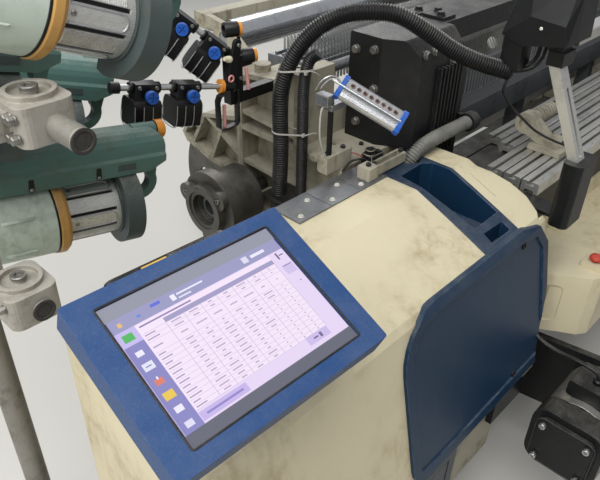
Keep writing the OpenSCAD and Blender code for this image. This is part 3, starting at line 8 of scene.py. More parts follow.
# %% Frame
import json
import bpy
import numpy as np
from mathutils import Matrix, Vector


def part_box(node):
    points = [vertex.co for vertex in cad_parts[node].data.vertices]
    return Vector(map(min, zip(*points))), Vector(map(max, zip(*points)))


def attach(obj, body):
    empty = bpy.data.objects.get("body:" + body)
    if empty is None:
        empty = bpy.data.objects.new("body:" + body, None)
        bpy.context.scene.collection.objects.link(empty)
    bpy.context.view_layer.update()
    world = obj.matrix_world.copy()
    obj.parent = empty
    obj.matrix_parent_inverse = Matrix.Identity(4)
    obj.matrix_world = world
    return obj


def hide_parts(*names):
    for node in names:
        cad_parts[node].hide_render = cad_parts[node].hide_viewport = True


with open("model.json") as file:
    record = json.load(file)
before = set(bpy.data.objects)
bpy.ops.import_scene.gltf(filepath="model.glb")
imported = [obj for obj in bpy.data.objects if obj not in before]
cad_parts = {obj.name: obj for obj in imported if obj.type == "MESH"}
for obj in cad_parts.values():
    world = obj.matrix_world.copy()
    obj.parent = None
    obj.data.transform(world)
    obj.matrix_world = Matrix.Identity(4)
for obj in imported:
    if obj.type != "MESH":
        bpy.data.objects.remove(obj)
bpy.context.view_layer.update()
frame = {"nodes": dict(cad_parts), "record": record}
nodes = frame["nodes"]
rng = np.random.default_rng(7)

# %% [markdown]
# ## Camera
# The photograph looks down over the left front corner. A camera could be aimed at a point with
# a constraint, but that leaves its roll unset. So its heading, fall and roll turn into three
# directions: forward, right and down. A Blender camera looks along its own -Z with +Y up, so
# its matrix has the columns right, minus down and minus forward.

# %% Camera
def in_scene(name, data):
    """New object of the scene."""
    thing = bpy.data.objects.new(name, data)
    bpy.context.scene.collection.objects.link(thing)
    return thing


def axes_at(x, y, z, place):
    """World matrix whose columns are three axes and a place."""
    return Matrix([(x[i], y[i], z[i], place[i]) for i in range(3)] + [(0, 0, 0, 1)])


heading, fall, roll = np.radians([47.0, 34.0, -1.4])
eye = (-1.2977, -0.5890, 1.7829)
forward = np.array([np.sin(heading) * np.cos(fall), np.cos(heading) * np.cos(fall), -np.sin(fall)])
level = np.array([np.cos(heading), -np.sin(heading), 0.0])
steep = np.cross(forward, level)
right = level * np.cos(roll) + steep * np.sin(roll)
down = -level * np.sin(roll) + steep * np.cos(roll)
camera = in_scene("camera", bpy.data.cameras.new("camera"))
camera.data.lens, camera.data.sensor_width = 39.0, 36.0
camera.data.clip_start, camera.data.clip_end = 0.02, 60.0
camera.matrix_world = axes_at(right, -down, -forward, eye)
bpy.context.scene.camera = camera
bpy.context.scene.view_settings.view_transform = "Standard"
print("camera at", eye)

# %% [markdown]
# ## Shapes from arrays
# Few pieces of a loom are plain cubes or tubes, so Blender's ready shapes don't go far. Every
# added piece is a surface over two parameters: a grid of points P[i, j], worked out at once
# with numpy. Sizes are in millimetres, as on a drawing, and become metres when the finished
# piece is made. A shape is a pair: its points and its faces. Shapes are made straight and
# level, moved by matrices, and joined into one object, which stays at the origin.

# %% Grids of points
def grid(P, close_i=False, close_j=False):
    """Faces between neighbours of P[i, j]; the ends of a closed tube are filled."""
    m, n = P.shape[:2]
    i, j = np.meshgrid(np.arange(m if close_i else m - 1), np.arange(n if close_j else n - 1), indexing="ij")
    i1, j1 = (i + 1) % m, (j + 1) % n
    faces = np.stack([i * n + j, i1 * n + j, i1 * n + j1, i * n + j1], -1).reshape(-1, 4).tolist()
    if close_j and not close_i:
        faces += [list(range(n))[::-1], list(range((m - 1) * n, m * n))]
    return P.reshape(-1, 3), faces


print("a tube of 3 rings of 8 points has", len(grid(np.zeros((3, 8, 3)), close_j=True)[1]), "faces")

# %% Places and copies
def shift(x, y, z):
    """Matrix that moves a shape by x, y and z."""
    M = np.eye(4)
    M[:3, 3] = x, y, z
    return M


def turn(axis, degrees):
    """Rotation about x, y or z: the two other axes mix by cosine and sine."""
    a = np.radians(degrees)
    i, j = {"x": (1, 2), "y": (2, 0), "z": (0, 1)}[axis]
    M = np.eye(4)
    M[i, i], M[i, j], M[j, i], M[j, j] = np.cos(a), -np.sin(a), np.sin(a), np.cos(a)
    return M


def facing(direction):
    """Matrix that turns +X onto a direction; the cross product with Z gives a level Y."""
    x = np.array(direction, float) / np.linalg.norm(direction)
    helper = np.array([0, 0, 1.0]) if abs(x[2]) < 0.9 else np.array([0, 1.0, 0])
    y = np.cross(helper, x)
    y /= np.linalg.norm(y)
    M = np.eye(4)
    M[:3, 0], M[:3, 1], M[:3, 2] = x, y, np.cross(x, y)
    return M


def put(shape, *places):
    """Copies of a shape, one for each 4 by 4 matrix."""
    V, F = shape
    M = np.stack(places)
    W = np.einsum("kab,nb->kna", M[:, :3, :3], V) + M[:, None, :3, 3]
    faces = [[v + k * len(V) for v in f] for k in range(len(places)) for f in F]
    return W.reshape(-1, 3), faces


print("a quarter turn about Z sends X to", turn("z", 90)[:3, 0].round(3).tolist())

# %% From shapes to a piece
FINISHES = {}


def outwards(V, F):
    """Faces turned round when their volume is negative, the sum of a . (b x c) over the corners of
    the faces; a flat sheet stays as it is."""
    quads = np.array([f for f in F if len(f) == 4])
    a, b, c, d = (V[quads[:, k]] for k in range(4))
    volume = np.einsum("ij,ij->", a, np.cross(b, c) + np.cross(c, d))
    for f in F:
        if len(f) != 4:
            volume += np.einsum("j,ij->", V[f[0]], np.cross(V[f[1:-1]], V[f[2:]]))
    return F if volume > -0.001 else [f[::-1] for f in F]


def piece(name, shapes, look, body="frame", replaces=(), angle=35):
    """One object from several closed shapes, in metres, with a finish, riding on its body."""
    V, F, start = [], [], 0
    for v, f in shapes:
        v = np.asarray(v, float)
        V.append(v)
        F += [[k + start for k in face] for face in outwards(v - v.mean(0), f)]
        start += len(v)
    mesh = bpy.data.meshes.new(name)
    mesh.from_pydata((np.concatenate(V) / 1000).tolist(), [], F)
    mesh.materials.append(FINISHES[look])
    mesh.shade_smooth()
    mesh.set_sharp_from_angle(angle=np.radians(angle))
    thing = in_scene(name, mesh)
    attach(thing, body)
    if replaces:
        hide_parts(*replaces)
    print(name, len(F), "faces")
    return thing


# %% [markdown]
# ## Shader helpers
# A material is a tree of small nodes. It could be drawn by hand in the editor, but the loom has
# some forty finishes, and they would drift apart. One helper adds a node: a value that is a
# socket gets linked, and any other value is set. A colour is written as its sRGB hex, as a
# paint is picked, and turned linear, as the shader needs it.

# %% Colours and nodes
def rgb(code):
    """sRGB hex to linear colour: c / 12.92 below 0.04045, else ((c + 0.055) / 1.055) ** 2.4."""
    c = np.array([int(code[i:i + 2], 16) for i in (1, 3, 5)]) / 255
    lin = np.where(c <= 0.04045, c / 12.92, ((c + 0.055) / 1.055) ** 2.4)
    return (*map(float, lin), 1.0)


def fill(tree, sockets, values):
    """Links or sets the sockets, by name or number."""
    for key, value in values.items():
        if isinstance(value, bpy.types.NodeSocket):
            tree.links.new(value, sockets[key])
        else:
            sockets[key].default_value = value


def add(tree, kind, inputs=None, **settings):
    """New node of a tree, with its settings and inputs."""
    node = tree.nodes.new("ShaderNode" + kind)
    for key, value in settings.items():
        setattr(node, key, value)
    fill(tree, node.inputs, inputs or {})
    return node


def maths(tree, operation, a, b, clamp=False):
    """One operation on two values or sockets."""
    return add(tree, "Math", {0: a, 1: b}, operation=operation, use_clamp=clamp).outputs[0]


def times(tree, a, b, clamp=False):
    """Product of a and b."""
    return maths(tree, "MULTIPLY", a, b, clamp)


def ramp(tree, value, low, high):
    """Smooth step from 0 at low to 1 at high."""
    return add(tree, "MapRange", {"Value": value, "From Min": low, "From Max": high},
               interpolation_type="SMOOTHSTEP").outputs["Result"]


def blend_colour(tree, mask, a, b):
    """Colour a where the mask is 0 and b where it is 1; 6, 7 and 2 are the node's colour sockets."""
    return add(tree, "Mix", {0: mask, 6: a, 7: b}, data_type="RGBA").outputs[2]


print("cream in linear colour:", [round(value, 3) for value in rgb("#d9cfb0")])

# %% [markdown]
# ## Shared effects
# A loom in use is dusty: lint settles on everything that faces up, oil and yarn dust make
# soft stains, paint rubs off along the edges, and brushed metal has fine lines. On black
# plastic the same edge mask is a painted highlight, lighter edges where gloss would catch the
# light. Painted textures would need every solid laid out flat. Noise over the object's own
# coordinates needs no layout and keeps one scale on all pieces. Each effect is a group, made
# once and placed in many materials with its own amounts.

# %% Noise and groups
def noise(tree, where, scale, detail, rough):
    """Noise from 0 to 1, with scale waves to a metre."""
    return add(tree, "TexNoise", {"Vector": where, "Scale": scale, "Detail": detail,
                                  "Roughness": rough}).outputs["Fac"]


def on_object(tree):
    """Place on the object, in metres."""
    return add(tree, "TexCoord").outputs["Object"]


def stretched(tree, size):
    """Place on the object times a size for each axis."""
    return add(tree, "VectorMath", {0: on_object(tree), 1: size}, operation="MULTIPLY").outputs[0]


def group(name, **inputs):
    """Empty shader group, and the sockets that bring its inputs in."""
    tree = bpy.data.node_groups.new(name, "ShaderNodeTree")
    for key, value in inputs.items():
        tree.interface.new_socket(key, in_out="INPUT", socket_type="NodeSocketFloat").default_value = value
    return tree, tree.nodes.new("NodeGroupInput").outputs


def give(tree, **results):
    """Outputs of a group, each linked to its result."""
    for key in results:
        tree.interface.new_socket(key, in_out="OUTPUT", socket_type="NodeSocketFloat")
    fill(tree, tree.nodes.new("NodeGroupOutput").inputs, results)
    return tree


def use(tree, shared, inputs):
    """Places a shared group in a material."""
    return add(tree, "Group", inputs, node_tree=shared).outputs


# %% Stains, edges, lint, grain and runs
def make_mottle():
    """Slow change of tone, and darker blotches where two noises of unlike size are both high."""
    tree, ins = group("mottle", Scale=8.0, Stain=0.5)
    where = on_object(tree)
    slow = noise(tree, where, ins["Scale"], 5.0, 0.6)
    fine = noise(tree, where, times(tree, ins["Scale"], 4.3), 6.0, 0.65)
    both = times(tree, ramp(tree, slow, 0.42, 0.66), ramp(tree, fine, 0.38, 0.72))
    return give(tree, Tone=slow, Stain=times(tree, both, ins["Stain"], True))


def make_edges():
    """Worn edges, and a painted edge highlight on black plastic: how far the rounded normal leans from the
    flat one, broken up by noise.
    """
    tree, ins = group("edge_wear_and_painted_highlight", Width=0.002, Amount=0.6)
    soft = add(tree, "Bevel", {"Radius": ins["Width"]}, samples=4).outputs[0]
    flat = add(tree, "NewGeometry").outputs["Normal"]
    lean = add(tree, "VectorMath", {0: soft, 1: flat}, operation="DOT_PRODUCT").outputs["Value"]
    edge = ramp(tree, maths(tree, "SUBTRACT", 1.0, lean), 0.02, 0.22)
    broken = ramp(tree, noise(tree, on_object(tree), 55.0, 5.0, 0.7), 0.35, 0.62)
    return give(tree, Mask=times(tree, times(tree, edge, broken), ins["Amount"], True))


def make_lint():
    """Lint on faces that look up: the upward part of the normal times soft and fibrous noise."""
    tree, ins = group("settled_lint", Amount=0.5)
    coord = add(tree, "TexCoord").outputs
    flat = ramp(tree, add(tree, "SeparateXYZ", {0: coord["Normal"]}).outputs["Z"], 0.25, 0.95)
    cloud = ramp(tree, noise(tree, coord["Object"], 14.0, 6.0, 0.7), 0.3, 0.75)
    bits = ramp(tree, noise(tree, coord["Object"], 260.0, 3.0, 0.8), 0.5, 0.72)
    both = maths(tree, "ADD", times(tree, cloud, 0.55), times(tree, bits, 0.6))
    mask = times(tree, times(tree, flat, both), ins["Amount"], True)
    return give(tree, Mask=mask, Height=times(tree, mask, bits))


def make_grain():
    """Surface grain: noise stretched along one axis when its three scales differ."""
    tree, ins = group("grain", X=400.0, Y=400.0, Z=400.0)
    size = add(tree, "CombineXYZ", {axis: ins[axis] for axis in "XYZ"}).outputs[0]
    fine = noise(tree, stretched(tree, size), 1.0, 4.0, 0.6)
    return give(tree, Height=fine, Value=ramp(tree, fine, 0.3, 0.7))


def make_runs():
    """Stains that run down: noise drawn out along Z, over a slower noise that starts them."""
    tree, ins = group("runs", Amount=0.5)
    start = ramp(tree, noise(tree, on_object(tree), 5.0, 3.0, 0.5), 0.42, 0.7)
    run = ramp(tree, noise(tree, stretched(tree, (46.0, 46.0, 5.0)), 1.0, 4.0, 0.6), 0.45, 0.75)
    return give(tree, Mask=times(tree, times(tree, start, run), ins["Amount"], True))


mottle, edge_wear_and_highlight, lint, grain, runs = make_mottle(), make_edges(), make_lint(), make_grain(), make_runs()
print("shared effects:", [g.name for g in (mottle, edge_wear_and_highlight, lint, grain, runs)])

# %% [markdown]
# ## One recipe for painted, moulded and bare surfaces
# Nearly all finishes of the loom are the same layers in other amounts: a colour with a second
# tone, stains, worn edges that show the layer below the paint (on black plastic, a painted edge
# highlight instead), lint on top, and a fine grain as bump. A material copied and changed forty
# times would be hard to mend. With one recipe, a better layer reaches every finish. Numbers that
# are the same all over go straight onto the shader's own sockets.

# %% Finish recipe
LINT_COLOUR = "#b9b4a8"


def new_finish(name):
    """Material of the list, as its tree and the inputs of its main shader."""
    made = FINISHES[name] = bpy.data.materials.new(name)
    made.use_nodes = True
    return made.node_tree, made.node_tree.nodes["Principled BSDF"].inputs


def finish(name, colours, metallic=0.0, rough=(0.4, 0.6), tone=8.0, stains=0.5, edge=0.0, dust=0.4,
           size=400, bump=0.08, run=0.0, coat=0.0, radius=0.0012):
    """Layers, from below: tone, stains, runs, worn edges, lint. The size of the grain is one or
    three numbers. The colours are the base, its second tone, the stains and the edge colour, which
    is what rubbing shows on painted parts and a painted edge highlight on black plastic."""
    tree, shader = new_finish(name)
    base, second, stain, *worn_and_lit_edge_colour = map(rgb, colours.split())
    blots = use(tree, mottle, {"Scale": tone, "Stain": stains})
    colour = blend_colour(tree, blots["Tone"], base, second)
    colour = blend_colour(tree, blots["Stain"], colour, stain)
    if run:
        colour = blend_colour(tree, use(tree, runs, {"Amount": run})["Mask"], colour, stain)
    # Edge colour: wear on painted parts, and a painted highlight along the edges of black plastic.
    if worn_and_lit_edge_colour:
        worn_and_lit_edge_mask = use(tree, edge_wear_and_highlight, {"Amount": edge, "Width": radius * 1.6})["Mask"]
        colour = blend_colour(tree, worn_and_lit_edge_mask, colour, *worn_and_lit_edge_colour)
    soil = use(tree, lint, {"Amount": dust})
    colour = blend_colour(tree, soil["Mask"], colour, rgb(LINT_COLOUR))
    texture = use(tree, grain, dict(zip("XYZ", np.broadcast_to(size, 3).tolist())))
    gloss = add(tree, "MapRange", {"Value": texture["Value"], "To Min": rough[0], "To Max": rough[1]})
    gloss = maths(tree, "ADD", gloss.outputs["Result"], times(tree, soil["Mask"], 0.35), True)
    height = maths(tree, "ADD", texture["Height"], soil["Height"])
    round_off = add(tree, "Bevel", {"Radius": radius}, samples=4).outputs[0]
    relief = add(tree, "Bump", {"Height": height, "Strength": bump, "Distance": 0.002, "Normal": round_off})
    fill(tree, shader, {"Base Color": colour, "Roughness": gloss, "Metallic": metallic, "Coat Weight": coat,
                        "Coat Roughness": 0.25, "Specular IOR Level": 0.5 if metallic else 0.3,
                        "Normal": relief.outputs[0]})


print("lint in linear colour:", [round(value, 3) for value in rgb(LINT_COLOUR)])

# %% [markdown]
# ## The finishes
# Each slot of the record gets its own finish. The colours are read from the photograph
# and written as sRGB: stained cream mouldings, navy tray, sand-cast frame, grey-green feeder
# bells, dark teal spines, ochre rings and a lot of dusty black. One colour and one gloss would
# look like a new toy, so even the plainest finish has a second tone, stains and some lint.

# %% Finishes of the slots
finish("casting", "#b2ad9a #97917d #5d5543 #6b6a66", rough=(0.5, 0.75), tone=9, stains=0.85, edge=0.5,
       dust=0.6, size=240, bump=0.28, run=0.6, radius=0.003)
finish("black_cast", "#151617 #1e1f20 #322e28 #5b5a55", rough=(0.32, 0.56), edge=0.55, dust=0.3, size=300,
       bump=0.2, radius=0.002)
finish("feet_steel", "#6d6b66 #55534e #3c3226 #8b8a86", metallic=0.7, stains=0.8, edge=0.4)
finish("rail_aluminium", "#d2d1cb #bcbbb5 #6f6c64 #d6d8d8", metallic=0.85, rough=(0.25, 0.5), stains=0.45,
       edge=0.4, dust=0.3, size=(8, 900, 900), bump=0.1)
finish("cream_moulding", "#d9cfb0 #cbc09e #8f7a50 #a39468", rough=(0.36, 0.55), tone=5, edge=0.35,
       dust=0.25, size=700, run=0.55, radius=0.003)
finish("navy_moulding", "#13304a #10293f #293d4f #6f8aa6", rough=(0.28, 0.46), tone=6, stains=0.35,
       edge=0.5, dust=0.2, size=800, bump=0.06, run=0.25, radius=0.0025)
finish("cabinet_paint", "#4b4f52 #41464a #2c2c2b #8b8c8a", rough=(0.45, 0.6), stains=0.4, edge=0.4,
       size=600, bump=0.1)
finish("plate_steel", "#83868a #6f7276 #4a4844 #b8babc", metallic=0.75, rough=(0.35, 0.55), tone=14,
       stains=0.7, edge=0.5, dust=0.3, size=(30, 700, 700), bump=0.12)
# The light edge colour of black plastic is a painted highlight, where gloss would catch the light.
finish("black_plastic", "#090a0b #0f1011 #24221f #5a5a57", rough=(0.3, 0.5), stains=0.35, edge=0.5,
       dust=0.1, size=900, bump=0.12)
finish("sensor_aluminium", "#c9cacb #b2b4b6 #77736a #e4e5e6", metallic=0.9, rough=(0.22, 0.42), stains=0.4,
       edge=0.3, dust=0.2, size=(60, 900, 900))
finish("conduit_rubber", "#0e0f10 #151617 #2a2722", rough=(0.28, 0.48), stains=0.4, dust=0.22, size=500,
       bump=0.12)
finish("grey_hose", "#7b7b76 #6a6a65 #44413a", rough=(0.5, 0.7), stains=0.7, dust=0.5, size=500, bump=0.12)
finish("motor", "#121314 #191a1b #2f2b26 #6b6b67", rough=(0.26, 0.46), stains=0.45, edge=0.5, dust=0.22,
       size=300, bump=0.18)
finish("stand_steel", "#8f8c84 #7c7971 #534a3c #b5b3ad", metallic=0.55, rough=(0.4, 0.65), tone=12,
       stains=0.7, edge=0.3, dust=0.5, size=(500, 500, 60), bump=0.15)
finish("clamp_casting", "#a8a499 #928d82 #655c4c #c8c5bd", metallic=0.25, rough=(0.45, 0.65), tone=16,
       stains=0.7, edge=0.5, dust=0.6, size=350, bump=0.3, radius=0.002)
finish("pale_green_shell", "#c8d4c5 #b9c7b8 #6c705f #c3cdc2", rough=(0.38, 0.55), tone=10, edge=0.3,
       size=700, bump=0.07, run=0.3)
finish("teal_shell", "#56766f #496760 #54574b #7c918c", rough=(0.35, 0.55), tone=10, edge=0.4, size=700,
       radius=0.0025)
finish("drum_metal", "#d3d3ce #bfbfb9 #7d786b #ececea", metallic=0.5, rough=(0.25, 0.42), stains=0.4,
       edge=0.3, dust=0.15, size=(60, 600, 600))
finish("dark_shell", "#465150 #3a4443 #4a483f #6a706e", rough=(0.38, 0.58), edge=0.45, dust=0.45, size=600,
       bump=0.1)
finish("ochre_ring", "#c4985a #b28645 #6f5428 #d9ad66", rough=(0.35, 0.5), tone=14, edge=0.3, dust=0.25,
       bump=0.06)
finish("blue_plastic", "#1f5cb8 #1a4fa2 #2d4468 #6f96cf", rough=(0.3, 0.45), stains=0.3, edge=0.3, dust=0.3,
       bump=0.05)
finish("orange_ceramic", "#e0922c #d18425 #8f6a35", rough=(0.2, 0.35), stains=0.35, dust=0.2, bump=0.03,
       coat=0.3)
finish("chrome_roller", "#c4c6c8 #b3b5b8 #7c7468", metallic=0.95, rough=(0.12, 0.28), stains=0.45,
       dust=0.25, size=(30, 600, 600), bump=0.04)
finish("rubber_roller", "#3a3936 #2f2e2c #59544a", rough=(0.6, 0.8), stains=0.4, size=300, bump=0.4)
finish("red_plastic", "#c8402c #b53524 #6f3226 #dd7a68", rough=(0.3, 0.45), stains=0.35, edge=0.3, dust=0.3,
       bump=0.05)
finish("navy_paint", "#214b80 #15315a #2d4262 #6a87ad", rough=(0.34, 0.5), tone=520, stains=0.25, edge=0.35,
       dust=0.1, size=900, bump=0.26)
finish("screen", "#15161a #1a1b20 #22232a", rough=(0.08, 0.14), stains=0.2, dust=0.05, bump=0.01, coat=0.6)
print(len(FINISHES), "finishes for the slots")

# %% Finishes of small added pieces
finish("bolt_steel", "#9c9a94 #85837d #4d4436", metallic=0.8, rough=(0.3, 0.5), tone=60, stains=0.6,
       dust=0.3, bump=0.06)
finish("white_plastic", "#dedad0 #cfcabd #8d8470", rough=(0.35, 0.5), tone=30, stains=0.35, dust=0.25,
       bump=0.04)
finish("cream_plug", "#d9d3b8 #c9c2a4 #8b8160", rough=(0.35, 0.5), tone=40, stains=0.4, dust=0.25,
       bump=0.04)
finish("pink_ceramic", "#e2a3a0 #d88f8c #9a6a62", rough=(0.15, 0.3), tone=50, stains=0.3, dust=0.2,
       bump=0.02, coat=0.4)
finish("yellow_mark", "#d0a83a #c09a30 #6d5926", rough=(0.4, 0.55), tone=40, stains=0.4, dust=0.3,
       bump=0.05)
finish("wire_steel", "#c9cac9 #b3b4b3 #6b675e", metallic=0.85, rough=(0.25, 0.45), tone=20, stains=0.3,
       dust=0.15, bump=0.03)
finish("grey_tie", "#b7b5ad #a5a39a #6e695d", rough=(0.4, 0.55), stains=0.4, dust=0.3, bump=0.05)
finish("brown_ceramic", "#8d6a58 #79594a #4e3a30", rough=(0.2, 0.4), tone=50, stains=0.3, dust=0.2,
       bump=0.02)
finish("red_wire", "#a03a30 #8b3028 #54302a", rough=(0.4, 0.5), tone=30, stains=0.4, dust=0.3)
finish("turned_silver", "#c3c1b9 #aeaca4 #6f6a5e", metallic=0.8, rough=(0.28, 0.5), tone=14, dust=0.3,
       size=(900, 60, 60))
print(len(FINISHES), "finishes")

# %% Finishes on the solids
part_slots = {part["node"]: part["material_slot"] for part in frame["record"]["subparts"]}
for name, thing in nodes.items():
    thing.data.materials.clear()
    thing.data.materials.append(FINISHES[part_slots[name]])
print(len(part_slots), "solids carry", len(set(part_slots.values())), "finishes")

# %% [markdown]
# ## Floor and light
# A pale plain floor and soft studio light: a wide lamp from the upper left, a weaker one from
# behind, a small one on the feeders and a grey world, which the camera sees brighter than the
# surfaces do. A sun or a spot would throw hard shadows into the open frame, so all three are
# area lamps. Bare metal gets its shine from the world, which is brighter to glossy rays.

# %% Floor and lamps
HALF_FLOOR = 30
tree, shader = new_finish("floor_paint")
fill(tree, shader, {"Base Color": rgb("#cfcdc6"), "Roughness": 0.6})
floor_mesh = bpy.data.meshes.new("floor")
corners = [(x * HALF_FLOOR, y * HALF_FLOOR, 0) for x, y in ((-1, -1), (1, -1), (1, 1), (-1, 1))]
floor_mesh.from_pydata(corners, [], [(0, 1, 2, 3)])
floor_mesh.materials.append(FINISHES["floor_paint"])
floor = in_scene("floor", floor_mesh)


def lamp(name, size, watts, place, target):
    """Square area lamp at a place, aimed at a target."""
    light = bpy.data.lights.new(name, "AREA")
    light.size, light.energy = size, watts
    M = facing(np.subtract(place, target))
    in_scene(name, light).matrix_world = axes_at(M[:, 1], M[:, 2], M[:, 0], place)


lamp("key", 3.2, 168, (-2.1, -0.7, 4.5), (-0.3, 0.2, 1.0))
lamp("back", 2.6, 105, (2.8, 3.6, 4.0), (0.6, 0.5, 0.9))
lamp("fill", 1.6, 40, (-3.0, 0.3, 2.4), (-0.9, 0.55, 1.35))
world = bpy.data.worlds.new("studio")
bpy.context.scene.world = world
world.use_nodes = True
sky = world.node_tree
seen = add(sky, "LightPath").outputs
glossy, backdrop = times(sky, seen["Is Glossy Ray"], 0.14), times(sky, seen["Is Camera Ray"], 0.5)
strength = maths(sky, "ADD", 0.36, maths(sky, "ADD", glossy, backdrop))
fill(sky, sky.nodes["Background"].inputs, {"Color": (0.93, 0.95, 1.0, 1.0), "Strength": strength})
print("three lamps, a floor and a world")

# %% [markdown]
# ## Places that several pieces share
# The terminal, the feeders, the weft sensor and the brakes all stand at a slant. Their details
# could be placed one by one in the loom's own axes, but then every number would hide three
# turns. So each unit has one matrix, the same as its solids have, and its details are made
# straight and moved by it. PITCH is twice the middle of the loom, for mirror images.

# %% Places that several pieces share
TERMINAL = shift(-852, -51, 1171) @ turn("z", -2) @ turn("x", 24)
FEEDERS = [shift(*place) @ turn("z", aside) @ turn("y", tilt) for place, tilt, aside in (
    ((-874, 322, 1547), 21, -3), ((-788, 818, 1173), 16, -12),
    ((-800, 590, 1045), 6, -10), ((-1021, 558, 1349), 14, -5))]
SENSOR = shift(-187, 332, 1237) @ turn("z", -64.9) @ turn("y", 24.6) @ turn("x", 18)
RODS = [shift(-589, 641, 1256) @ turn("z", -10.2) @ turn("y", 10.8),
        shift(-392, 699, 1385) @ turn("z", -36.3) @ turn("y", 39)]
UNITS = [RODS[k] @ shift(x, 0, 0) for k, x in ((0, 68), (0, 172), (1, 46), (1, 138))]
COUPLING = shift(0, 700, 805)
MOTOR = shift(0, -335, 365)
PITCH = 1000 * float(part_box("side_frame_right")[1][0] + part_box("side_frame_left")[0][0])
print("drums start at", [base[:3, 3].tolist() for base in FEEDERS], "mm; the middle is at", PITCH / 2)

# %% [markdown]
# ## Ribbed conduits
# The black conduit that climbs beside the frame and arches over to the hood is a corrugated
# tube. One circle is carried along a smooth route, and its radius goes in and out every few
# millimetres. A texture could fake the ribs, but its outline would stay smooth.

# %% Paths and sweeps
def smooth_path(points, steps):
    """Catmull-Rom curve through the points: each piece is a cubic with the slope (next - last) / 2."""
    p = np.array(points, float)
    q = np.vstack([p[:1], p, p[-1:]])
    s = np.linspace(0, len(p) - 1, steps)
    i = np.minimum(s.astype(int), len(p) - 2)
    t = (s - i)[:, None]
    a, b, c, d = q[i], q[i + 1], q[i + 2], q[i + 3]
    return 0.5 * (2 * b + (c - a) * t + (2 * a - 5 * b + 4 * c - d) * t**2 + (3 * b - a - 3 * c + d) * t**3)


def steps_of(path):
    """Length of each step between the points of a path."""
    return np.linalg.norm(np.diff(path, axis=0), axis=1)


def path_length(path):
    """Sum of the steps."""
    return float(steps_of(path).sum())


def sweep(path, profile, size=None, closed=False, up=(0.9, 0.43, 0.05)):
    """Profile (u, v) carried along the path: point + size * (u * side + v * top)."""
    path, profile = np.array(path, float), np.array(profile, float)
    along = np.roll(path, -1, 0) - np.roll(path, 1, 0) if closed else np.gradient(path, axis=0)
    along /= np.linalg.norm(along, axis=1, keepdims=True)
    side = np.cross(along, np.array(up, float))
    side /= np.linalg.norm(side, axis=1, keepdims=True)
    top = np.cross(along, side)
    size = np.ones(len(path)) if size is None else size
    flat = profile[None, :, :1] * side[:, None] + profile[None, :, 1:] * top[:, None]
    return grid(path[:, None] + size[:, None, None] * flat, closed, True)


def circle(radius, sides=16):
    """Points (r cos a, r sin a)."""
    a = np.linspace(0, 2 * np.pi, sides, endpoint=False)
    return radius * np.stack([np.cos(a), np.sin(a)], -1)


print("an arc through three points is",
      round(path_length(smooth_path([(0, 0, 0), (50, 20, 0), (100, 0, 0)], 50)), 1), "mm long")

# %% Ribbed conduits
def ribbed(name, route, width, pitch, depth, slot, node):
    """Radius along the route: width / 2 less depth times a softened square wave of the way gone."""
    path = smooth_path(route, 1200)
    gone = np.concatenate([[0], np.cumsum(steps_of(path))])
    steps_per_rib = 6
    even = np.linspace(0, gone[-1], int(gone[-1] / pitch) * steps_per_rib + 1)
    path = np.stack([np.interp(even, gone, path[:, k]) for k in range(3)], -1)
    wave = np.clip(1.8 * np.cos(2 * np.pi * even / pitch), -1, 1)
    tube = piece(name, [sweep(path, circle(width / 2, 28), 1 - depth / width * (1 + wave))], slot,
                 replaces=[node], angle=60)


ribbed("main_conduit", [(-206, 520, 700), (-205, 516, 850), (-202, 512, 960), (-201, 511, 1050),
                        (-203, 512, 1130), (-199, 508, 1200), (-180, 488, 1275), (-148, 452, 1335),
                        (-105, 404, 1372), (-56, 349, 1382), (-15, 304, 1374), (30, 252, 1338),
                        (77, 201, 1296), (120, 150, 1270), (172, 96, 1250)],
       42, 6.5, 3.2, "conduit_rubber", "conduit_main")
ribbed("rear_conduit", [(-166, 470, 620), (-166, 468, 850), (-167, 466, 1050), (-168, 464, 1200),
                        (-163, 454, 1262), (-151, 436, 1285)],
       30, 5.0, 2.4, "conduit_rubber", "conduit_rear")
ribbed("grey_hose", [(28, 276, 948), (34, 266, 990), (60, 255, 1023), (104, 250, 1036), (152, 249, 1038),
                     (200, 249, 1037), (252, 250, 1035), (303, 250, 1034)],
       40, 7.0, 3.0, "grey_hose", "conduit_grey")

# %% [markdown]
# ## The picture on the terminal
# The screen shows a table of settings: a title bar, a column of icons and rows of short
# dashes, which say nothing. An image would be the usual way, but it is one more file to carry
# and blurs close up. Here the picture is one flat grid whose lines lie at the edges of all its
# boxes, with a colour on every cell that also glows. A box is its left, right, top and bottom
# as parts of the glass, and its colour.

# %% Screen layout
def around(x, y, half_w, half_h, colour):
    """Box about its middle."""
    return x - half_w, x + half_w, y - half_h, y + half_h, colour


GLASS_W, GLASS_H = 303.0, 225.0
HALF_LINE = 0.0012
columns = [0.235, 0.333, 0.428, 0.522, 0.617, 0.709, 0.802, 0.896]
lines = [0.27, 0.3, 0.335, 0.415, 0.448, 0.483, 0.519, 0.555, 0.592, 0.626, 0.66, 0.695, 0.73, 0.765, 0.8,
         0.83]
boxes = [(0, 1, 0, 1, "#e3d3f0"), (0, 1, 0, 0.1, "#8f929e"), (0, 1, 0.918, 1, "#5c5f6a"),
         (0, 1, 0.1, 0.192, "#9696bd"), (0.008, 0.106, 0.192, 0.918, "#8482bd"),
         (0.008, 0.106, 0.192, 0.298, "#c2b7e6"), (0.106, 0.897, 0.198, 0.83, "#f1e1f3"),
         (0.235, 0.897, 0.236, 0.27, "#9d98be"), (0.11, 0.365, 0.846, 0.905, "#c3b2e4"),
         (0.75, 0.89, 0.825, 0.888, "#c9b9e6"), (0.92, 0.985, 0.31, 0.39, "#cfbfe6"),
         (0, 0.006, 0.1, 0.918, "#3b4268"), (0.994, 1, 0.1, 0.918, "#3b4268")]
boxes += [(x - HALF_LINE, x + HALF_LINE, 0.27, 0.83, "#bfb0cd") for x in columns]
boxes += [(0.112, 0.896, y - HALF_LINE, y + HALF_LINE, "#c9bbd6") for y in lines]
